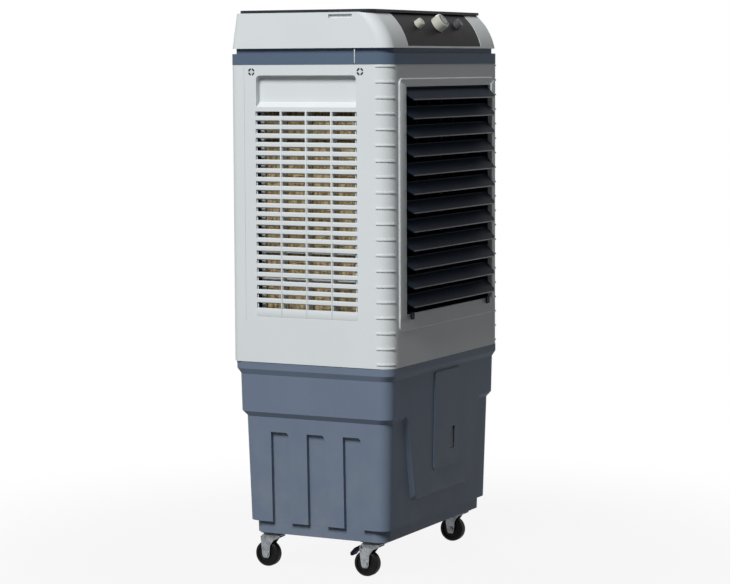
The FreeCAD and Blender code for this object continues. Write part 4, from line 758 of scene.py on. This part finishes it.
@dataclass
class ControlMarks(Maker):
    """The fine raised ticks of the three dials on the control panel.

    Args:
        tick: A tick's length, width and height, in metres.
        sweep: The angle from a dial's middle to its last tick.
        dials: Each dial's joint, the radius that its ticks stand at, and how many there are.
    """

    tick: Vector = Vector((0.0042, 0.0008, 0.0005))
    sweep: float = math.radians(135.0)
    dials: tuple[tuple[str, float, int], ...] = (
        ("knob_left_turn", 0.0165, 7), ("knob_centre_turn", 0.0245, 9), ("knob_right_turn", 0.0165, 7))

    def dial(self, mesh: BMesh, joint: str, radius: float, count: int) -> None:
        """Sets the ticks of one dial on the panel.

        Args:
            mesh: The bmesh that they join.
            joint: The joint of the dial's knob.
            radius: How far from its axis they stand.
            count: How many there are.
        """
        panel = surface_of("control_panel")
        middle, axis = joint_place(joint)
        across = Vector((1.0, 0.0, 0.0))
        up = axis.cross(across)
        for index in range(count):
            angle = math.pi / 2.0 + self.sweep * (1.0 - 2.0 * index / (count - 1))
            way = across * math.cos(angle) + up * math.sin(angle)
            seat, normal, _, _ = panel.ray_cast(middle + way * radius + axis * PROBE, -axis)
            if seat is None:
                continue
            along = (way - normal * way.dot(normal)).normalized()
            bead(mesh, stand(seat, along, normal), self.tick, FINE_ROUNDING)

    def build(self) -> None:
        """Builds and dresses the ticks."""
        mesh = bmesh.new()
        for joint, radius, count in self.dials:
            self.dial(mesh, joint, radius, count)
        self.fit("dial_ticks", mesh, Slot.KNOB_DARK)


@dataclass
class KnobFaces(Maker):
    """What the knobs show on their faces: a raised mark on each, and a black ring round the large one's cap that
    paints the shade of the groove there.

    Args:
        mark: A mark's length, width and height, in metres.
        reach: How far a mark stands from the middle, on a small knob and on the large one.
        groove: The inner and outer radius of the large knob's ring.
        sheet: The ring's thickness.
        cap: How far the large knob's cap stands out.
        taper: How much narrower the cap is on top.
    """

    mark: Vector = Vector((0.0055, 0.0013, 0.0006))
    reach: tuple[float, float] = (0.0062, 0.0052)
    groove: tuple[float, float] = (0.0108, 0.0128)
    sheet: float = 0.0003
    cap: float = 0.0007
    taper: float = 0.0004

    def seat(self, knob: str) -> Matrix:
        """Finds a knob's face.

        Args:
            knob: The knob's node.

        Returns:
            The place of the face's middle, with Z out of it.
        """
        middle, axis = joint_place(knob + "_turn")
        face, _, _, _ = surface_of(knob).ray_cast(middle + axis * PROBE, -axis)
        return stand(face, Vector((1.0, 0.0, 0.0)), axis)

    def build(self) -> None:
        """Builds and dresses the marks, the ring of painted shade and the cap."""
        upright = Matrix.Rotation(math.pi / 2.0, 4, "Z")
        small, large = self.reach
        rows = (("knob_left", small, 0.0, Slot.KNOB_DARK), ("knob_centre", large, self.cap, Slot.KNOB_DARK),
                ("knob_right", small, 0.0, Slot.KNOB_LIGHT))
        for knob, out, height, slot in rows:
            mesh = bmesh.new()
            place = self.seat(knob) @ Matrix.Translation((0.0, out, height)) @ upright
            bead(mesh, place, self.mark, FINE_ROUNDING)
            self.fit(knob + "_mark", mesh, slot, knob)
        face = self.seat("knob_centre")
        mesh = bmesh.new()
        # The black ring paints the shade in the groove round the cap.
        ring(mesh, face, *self.groove, self.sheet)
        self.fit("knob_centre_groove_shade", mesh, Slot.BLACK, "knob_centre")
        mesh = bmesh.new()
        foot = self.groove[0]
        bmesh.ops.create_cone(
            mesh, cap_ends=True, segments=48, radius1=foot, radius2=foot - self.taper,
            depth=self.cap, matrix=face @ Matrix.Translation((0.0, 0.0, self.cap / 2.0)))
        self.fit("knob_centre_cap", mesh, Slot.PIPE, "knob_centre")


@dataclass
class LouverHighlightLips(Maker):
    """The rounded lip along the front edge of each louver, glossier and a lighter grey than the louver: the grey
    is a painted highlight, added to the light that the edge catches.

    Args:
        size: The lip's depth and height, in metres.
        nose: How much of a louver's depth counts as its front edge.
    """

    size: tuple[float, float] = (0.0016, 0.0022)
    nose: float = 0.0006

    def build(self) -> None:
        """Builds and dresses a lip for each louver, which tilts with it."""
        depth, tall = self.size
        names = sorted(name for name in frame["nodes"] if name.startswith("louver_") and name[-1].isdigit())
        for name in names:
            places = [vertex.co for vertex in frame["nodes"][name].data.vertices]
            front = min(place.y for place in places)
            edge = [place for place in places if place.y < front + self.nose]
            height = sum(place.z for place in edge) / len(edge)
            reach = max(place.x for place in edge)
            mesh = bmesh.new()
            place = Matrix.Translation((0.0, front + depth / 2.0, height))
            bead(mesh, place, Vector((2.0 * reach, depth, tall)), self.rounding)
            # The lip's lighter grey is a painted highlight along the louver's edge.
            self.fit(name + "_lip", mesh, Slot.KNOB_DARK, name)


@dataclass
class OutletBevels(Maker):
    """The sloping faces at both sides of the outlet's raised border.

    Args:
        inner: Half the opening's width, in metres.
        outer: How far from the middle a face meets the border.
        proud: How far its inner edge stands out.
        margin: How far the opening lies inside the louvers' frame, above and below.
        thick: A face's thickness.
        sunk: How far the middle of that thickness lies behind the shell's face.
        flare: How much farther up and down a face reaches on its outer side.
    """

    inner: float = 0.2155
    outer: float = 0.2378
    proud: float = 0.0038
    margin: float = 0.0125
    thick: float = 0.0016
    sunk: float = 0.0004
    flare: float = 0.009

    def build(self) -> None:
        """Builds and dresses both faces."""
        low, high = (Vector(corner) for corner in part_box("louver_frame"))
        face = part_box("front_shell")[0][1]
        centre = (self.outer + self.inner) / 2.0
        mesh = bmesh.new()
        for side in (-1.0, 1.0):
            size = Vector((self.outer - self.inner, self.thick, high.z - low.z - 2.0 * self.margin))
            middle = Vector((side * centre, face + self.sunk, (low.z + high.z) / 2.0))
            made = bmesh.ops.create_cube(
                mesh, size=1.0, matrix=Matrix.Translation(middle) @ Matrix.Diagonal((*size, 1.0)))
            for vertex in made["verts"]:
                near = abs(vertex.co.x) < centre
                if near and vertex.co.y < middle.y:
                    vertex.co.y -= self.proud
                if not near:
                    vertex.co.z += math.copysign(self.flare, vertex.co.z - middle.z)
            rounded(mesh, made["verts"], self.rounding)
        self.fit("outlet_bevels", mesh, Slot.SHELL)


class Grille:
    """Where one grille panel stands, which way it faces, and where its bars are."""

    def __init__(self, name: str) -> None:
        """Reads the panel's place from the frame.

        Args:
            name: The panel's node.
        """
        self.low, self.high = (Vector(corner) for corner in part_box(name))
        rear = name == "rear_panel"
        self.across = 0 if rear else 1
        self.thin = 1 - self.across
        self.way = -1.0 if name == "side_panel_left" else 1.0
        self.face = self.low[self.thin] if self.way < 0.0 else self.high[self.thin]
        columns, rims = (5, (WIDE_RIM, NARROW_RIM)) if rear else (4, (NARROW_RIM, WIDE_RIM))
        first, last = self.low[self.across] + rims[0], self.high[self.across] - rims[1]
        self.field = [first + (last - first) * index / columns for index in range(columns + 1)]

    def behind(self, *depths: float) -> list[float]:
        """Returns the places at some depths behind the panel's face."""
        return [self.face - self.way * depth for depth in depths]


@dataclass
class SlatLips(Maker):
    """The rounded lips along the grille slats, and the thin bars that cross them on the side panels.

    Args:
        first: The height of the lowest slat's foot over its panel's foot, in metres.
        pitch: The distance from slat to slat.
        count: The slats in a panel.
        face: A lip's height.
        thick: A lip's thickness.
        sunk: How far a lip's face lies behind the panel's.
        overlap: How far a lip reaches past the field at each end. The sill reaches twice as far.
        bar: A bar's width.
        foot: How high the sill's top lies over the place of one more slat below.
        sill: The height of the plain sill under the lowest gap of a side panel.
        proud: How far a side panel's bars stand out. The sill stands out by half of it.
        curve: The rounding of the lips' edges.
    """

    first: float = 0.0421
    pitch: float = 0.0184
    count: int = 22
    face: float = 0.0092
    thick: float = 0.0034
    sunk: float = 0.0001
    overlap: float = 0.0005
    bar: float = 0.0032
    foot: float = 0.0063
    sill: float = 0.018
    proud: float = 0.0008
    curve: float = 0.0016

    def bars(self, mesh: BMesh, grille: Grille) -> None:
        """Adds the bars of a side panel's grille, and its sill.

        Args:
            mesh: The bmesh that they join.
            grille: The panel's grille.
        """
        base = grille.low.z + self.first - self.pitch + self.foot
        top = grille.low.z + self.first + self.pitch * self.count
        half, lap = self.bar / 2.0, 2.0 * self.overlap
        rows = [(middle - half, middle + half, top, self.proud) for middle in grille.field[1:-1]]
        rows.append((grille.field[0] - lap, grille.field[-1] + lap, base, self.proud / 2.0))
        for start, stop, height, out in rows:
            ends = {grille.across: (start, stop), 2: (base - self.sill, height),
                    grille.thin: grille.behind(-out, self.thick / 2.0)}
            block(mesh, grille.low, grille.high, self.rounding, ends)

    def build(self) -> None:
        """Builds and dresses the lips and bars of the three panels."""
        for name in SIDES:
            grille = Grille(name)
            mesh = bmesh.new()
            ends = {grille.across: (grille.field[0] - self.overlap, grille.field[-1] + self.overlap),
                    grille.thin: grille.behind(self.sunk, self.thick)}
            for index in range(self.count):
                start = grille.low.z + self.first + self.pitch * index
                ends[2] = (start, start + self.face)
                block(mesh, grille.low, grille.high, self.curve, ends)
            if grille.across:
                self.bars(mesh, grille)
            self.fit(name + "_lips", mesh, Slot.SHELL)


@dataclass
class PadLattices(Maker):
    """The moulded lattice that holds each pad: a frame, an upright behind each grille bar, and thin rails.

    Args:
        edge: The width of the frame's sides, in metres.
        upright: The width of the uprights.
        rail: The height of the rails.
        rails: The rails' heights over the lattice's foot.
        step: How far the rails lie behind the uprights' faces.
    """

    edge: float = 0.0085
    upright: float = 0.0045
    rail: float = 0.0042
    rails: tuple[float, ...] = (0.077, 0.135, 0.377)
    step: float = 0.0005
    rounding: float = 0.0006

    def lattice(self, low: Vector, high: Vector, grille: Grille) -> BMesh:
        """Makes one lattice.

        Args:
            low: Its lowest corner.
            high: Its highest corner.
            grille: The grille that it stands behind.

        Returns:
            The lattice's bmesh.
        """
        mesh = bmesh.new()
        across, half = grille.across, self.upright / 2.0
        spans = [(low[across], low[across] + self.edge), (high[across] - self.edge, high[across])]
        spans += [(stand - half, stand + half) for stand in grille.field[1:-1]]
        for span in spans:
            block(mesh, low, high, self.rounding, {across: span})
        levels = [(low.z, low.z + self.edge), (high.z - self.edge, high.z)]
        levels += [(low.z + rail, low.z + rail + self.rail) for rail in self.rails]
        deep = (low[grille.thin] + self.step, high[grille.thin] - self.step)
        for level in levels:
            block(mesh, low, high, self.rounding, {2: level, grille.thin: deep})
        return mesh

    def build(self) -> None:
        """Builds and dresses the three lattices in place of the plain ones."""
        names = ("lattice_left", "lattice_rear", "lattice_right")
        for name, side, (low, high) in zip(names, SIDES, islands("pad_retainers"), strict=True):
            piece = self.fit(name, self.lattice(low, high, Grille(side)), Slot.SHELL)
            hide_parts("pad_retainers")


@dataclass
class ShadeSheets(Maker):
    """Black sheets that paint shade: a strip down each end of every grille's rim, where the gap behind it is in
    shade, and a ring in the slots round each boss, where the dark inside shows through.

    Args:
        thick: A strip's thickness, in metres.
        depth: Where a strip starts and ends behind the panel's face.
        top: The height that the strips end at, below the finger pockets.
        shade_ring: A ring's inner and outer radius.
        sheet: A ring's thickness.
        sunk: How deep a ring's inner face lies behind the panel's face.
    """

    thick: float = 0.0008
    depth: tuple[float, float] = (0.004, 0.0172)
    top: float = 0.985
    shade_ring: tuple[float, float] = (0.0046, 0.0084)
    sheet: float = 0.0003
    sunk: float = 0.00072

    def build(self) -> None:
        """Builds and dresses the strips and the rings of painted shade."""
        strips, shade_rings = bmesh.new(), bmesh.new()
        grilles = [Grille(side) for side in SIDES]
        for grille, (low, high) in zip(grilles, islands("pad_retainers"), strict=True):
            deep = grille.behind(*self.depth)
            for end in (low[grille.across], high[grille.across] - self.thick):
                ends = {grille.across: (end, end + self.thick), grille.thin: deep, 2: (low.z, self.top)}
                block(strips, low, high, FINE_ROUNDING, ends)
        for low, high in islands("panel_screws"):
            middle = (low + high) / 2.0
            grille = min(grilles, key=lambda panel: abs(middle[panel.thin] - panel.face))
            middle[grille.thin] = grille.behind(self.sunk)[0]
            out = Vector((0.0, 0.0, 0.0))
            out[grille.thin] = grille.way
            turned = out.to_track_quat("Z", "Y").to_matrix().to_4x4()
            ring(shade_rings, Matrix.Translation(middle) @ turned, *self.shade_ring, self.sheet)
        # Both pieces are black only to paint the shade of the gaps and slots that they sit in.
        self.fit("painted_shade_strips", strips, Slot.BLACK)
        self.fit("painted_shade_rings", shade_rings, Slot.BLACK)


@dataclass
class CollarHighlightStrips(Maker):
    """Pale strips at the shell's seam on each side of the collar, shaped as tongues of the shell through the
    collar's split; their pale colour paints the thin highlight down the collar's corner.

    Args:
        size: A tongue's depth, width and height, in metres.
        behind: How far behind the front shell's edge it stands.
    """

    size: Vector = Vector((0.0012, 0.0018, 0.029))
    behind: float = 0.003
    rounding: float = 0.0003

    def build(self) -> None:
        """Builds and dresses both strips of painted highlight."""
        low, high = (Vector(corner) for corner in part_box("collar"))
        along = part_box("front_shell")[1][1] + self.behind
        middle = (low.z + high.z) / 2.0
        wall = surface_of("collar")
        mesh = bmesh.new()
        for side in (-1.0, 1.0):
            seat, _, _, _ = wall.ray_cast(Vector((side, along, middle)), Vector((-side, 0.0, 0.0)))
            if seat is not None:
                bead(mesh, Matrix.Translation(seat), self.size, self.rounding)
        # The strips' pale colour is a painted highlight on the dark collar.
        self.fit("collar_highlight_strips", mesh, Slot.SHELL)


@dataclass
class CasterBolts(Maker):
    """The hexagon bolts that hold each caster's plate under the tank.

    Args:
        reach: How far each bolt stands from the kingpin along both of the plate's sides, in metres.
        across: A head's width over its corners.
        thick: A head's height.
    """

    reach: float = 0.0175
    across: float = 0.0092
    thick: float = 0.0024
    rounding: float = 0.0004

    def head(self, mesh: BMesh, place: Vector) -> None:
        """Adds one bolt head with sharp edges.

        Args:
            mesh: The bmesh that it joins.
            place: Where it hangs from a plate's underside.
        """
        radius = self.across / 2.0
        bmesh.ops.create_cone(
            mesh, cap_ends=True, segments=6, radius1=radius, radius2=radius, depth=self.thick,
            matrix=Matrix.Translation(place - Vector((0.0, 0.0, self.thick / 2.0))))

    def build(self) -> None:
        """Builds and dresses the sixteen bolt heads."""
        plates = surface_of("caster_plates")
        mesh = bmesh.new()
        for corner in ("fl", "fr", "rl", "rr"):
            pin, _ = joint_place("caster_swivel_" + corner)
            for across, along in ((-1, -1), (-1, 1), (1, -1), (1, 1)):
                start = Vector((pin.x + across * self.reach, pin.y + along * self.reach, 0.0))
                seat, _, _, _ = plates.ray_cast(start, Vector((0.0, 0.0, 1.0)))
                if seat is not None:
                    self.head(mesh, seat)
        rounded(mesh, mesh.verts, self.rounding)
        self.fit("caster_bolts", mesh, Slot.ZINC)


@dataclass(frozen=True)
class Photograph:
    """The photograph's frame, and the place and direction that it was taken from.

    Args:
        width: Its pixels across.
        focal: The focal length in those pixels.
        place: The camera's place in metres.
        yaw: Its direction from +X towards +Y.
        pitch: How far it looks down.
        roll: How far it leans.
    """

    width: int = 730
    focal: float = 2406.82
    place: Vector = Vector((-4.70562, -2.41225, 1.08522))
    yaw: float = math.radians(27.3163)
    pitch: float = math.radians(5.3941)
    roll: float = math.radians(-0.2595)

    def build(self) -> None:
        """Sets up the camera and makes it the scene's own."""
        data = bpy.data.cameras.new("photograph")
        data.sensor_fit = "HORIZONTAL"
        data.lens = self.focal / self.width * data.sensor_width
        data.clip_end = 60.0
        camera = bpy.data.objects.new("photograph", data)
        level = math.cos(self.pitch)
        ahead = Vector((math.cos(self.yaw) * level, math.sin(self.yaw) * level, -math.sin(self.pitch)))
        right = Vector((math.sin(self.yaw), -math.cos(self.yaw), 0.0))
        up = right.cross(ahead)
        tilted = right * math.cos(self.roll) + up * math.sin(self.roll)
        camera.matrix_world = stand(self.place, tilted, -ahead)
        bpy.context.scene.collection.objects.link(camera)
        bpy.context.scene.camera = camera


@dataclass(frozen=True)
class Lamp:
    """One square soft lamp.

    Args:
        name: Its name.
        place: Where it hangs, in metres.
        size: Its side in metres.
        power: Its power in watts.
    """

    name: str
    place: Vector
    size: float
    power: float

    def hang(self, aim: Vector) -> None:
        """Hangs the lamp.

        Args:
            aim: The place that it points at.
        """
        data = bpy.data.lights.new(self.name, "AREA")
        data.shape = "SQUARE"
        data.size = self.size
        data.energy = self.power
        lamp = bpy.data.objects.new(self.name, data)
        turned = (aim - self.place).to_track_quat("-Z", "Y").to_matrix().to_4x4()
        lamp.matrix_world = Matrix.Translation(self.place) @ turned
        bpy.context.scene.collection.objects.link(lamp)


@dataclass
class Studio:
    """A pale floor, a white surround and soft lamps.

    Args:
        ambient: The surround's strength on the object.
        white: The share of the floor that camera, gloss and glass see as plain white near the casters.
        reach: Half the floor's width in metres.
        fade: Where the floor starts to lose its shadow and where it is plain white, from its middle.
        tone: The floor's colour, as the object is lit by it.
        aim: What the lamps point at.
        lamps: The lamps.
    """

    ambient: float = 0.075
    white: float = 0.9
    reach: float = 30.0
    fade: tuple[float, float] = (0.5, 1.5)
    tone: Colour = srgb(112, 112, 112)
    aim: Vector = Vector((0.0, 0.0, 0.65))
    lamps: tuple[Lamp, ...] = (
        Lamp("key", Vector((-10.4, 0.1, 10.0)), 5.0, 2090.0),
        Lamp("fill", Vector((4.5, 4.2, 4.0)), 3.0, 270.0))

    def seen_white(self, board: Board) -> Wire:
        """Tells the rays that show the surround itself from those that light the object.

        Args:
            board: The tree that asks.

        Returns:
            1 for the first and 0 for the others.
        """
        path = board.tree.nodes.new("ShaderNodeLightPath")
        names = ("Is Camera Ray", "Is Glossy Ray", "Is Transmission Ray")
        camera, gloss, glass = (Wire(board, path.outputs[name]) for name in names)
        return camera.maths("MAXIMUM", gloss).maths("MAXIMUM", glass)

    def floor(self) -> None:
        """Lays the floor at the casters' feet."""
        mesh = bmesh.new()
        bmesh.ops.create_grid(mesh, x_segments=1, y_segments=1, size=self.reach)
        floor = piece_from("floor", mesh, 0.0)
        paint = Paint("pale floor")
        paint.finish(Base_Color=self.tone, Roughness=0.9, Specular_IOR_Level=0.1)
        glow = paint.add("ShaderNodeEmission", {}, {"Color": (1.0, 1.0, 1.0), "Strength": 1.0})
        across, along = paint.height(0), paint.height(1)
        far = ((across * across + along * along) ** 0.5).stretch(*self.fade, self.white, 1.0)
        share = self.seen_white(paint) * far
        shown = Wire(paint, paint.shader.outputs[0])
        mixed = paint.add("ShaderNodeMixShader", {}, {0: share, 1: shown, 2: glow})
        paint.feed(paint.output.inputs[0], mixed)
        floor.data.materials.append(paint.material)

    def surround(self) -> None:
        """Makes the world white where it is seen and soft where it lights."""
        world = bpy.data.worlds.new("surround")
        world.use_nodes = True
        bpy.context.scene.world = world
        board = Board(world.node_tree)
        back = board.tree.nodes["Background"]
        back.inputs["Color"].default_value = (1.0, 1.0, 1.0, 1.0)
        board.feed(back.inputs["Strength"], self.seen_white(board) * (1.0 - self.ambient) + self.ambient)

    def build(self) -> None:
        """Builds the floor, the surround and the lamps."""
        bpy.context.scene.view_settings.view_transform = "Standard"
        self.floor()
        self.surround()
        for lamp in self.lamps:
            lamp.hang(self.aim)


def main() -> None:
    """Builds the camera, the finishes, the new pieces and the studio."""
    logging.basicConfig(level=logging.INFO, format="%(name)s: %(message)s")
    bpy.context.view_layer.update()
    Photograph().build()
    wardrobe = Wardrobe()
    wardrobe.dress_nodes()
    for maker in (FibrePads, SlatLips, PadLattices, ShadeSheets, ControlMarks, KnobFaces, LouverHighlightLips,
                  OutletBevels, CollarHighlightStrips, CasterBolts):
        maker(wardrobe).build()
    Studio().build()


if __name__ == "__main__":
    main()
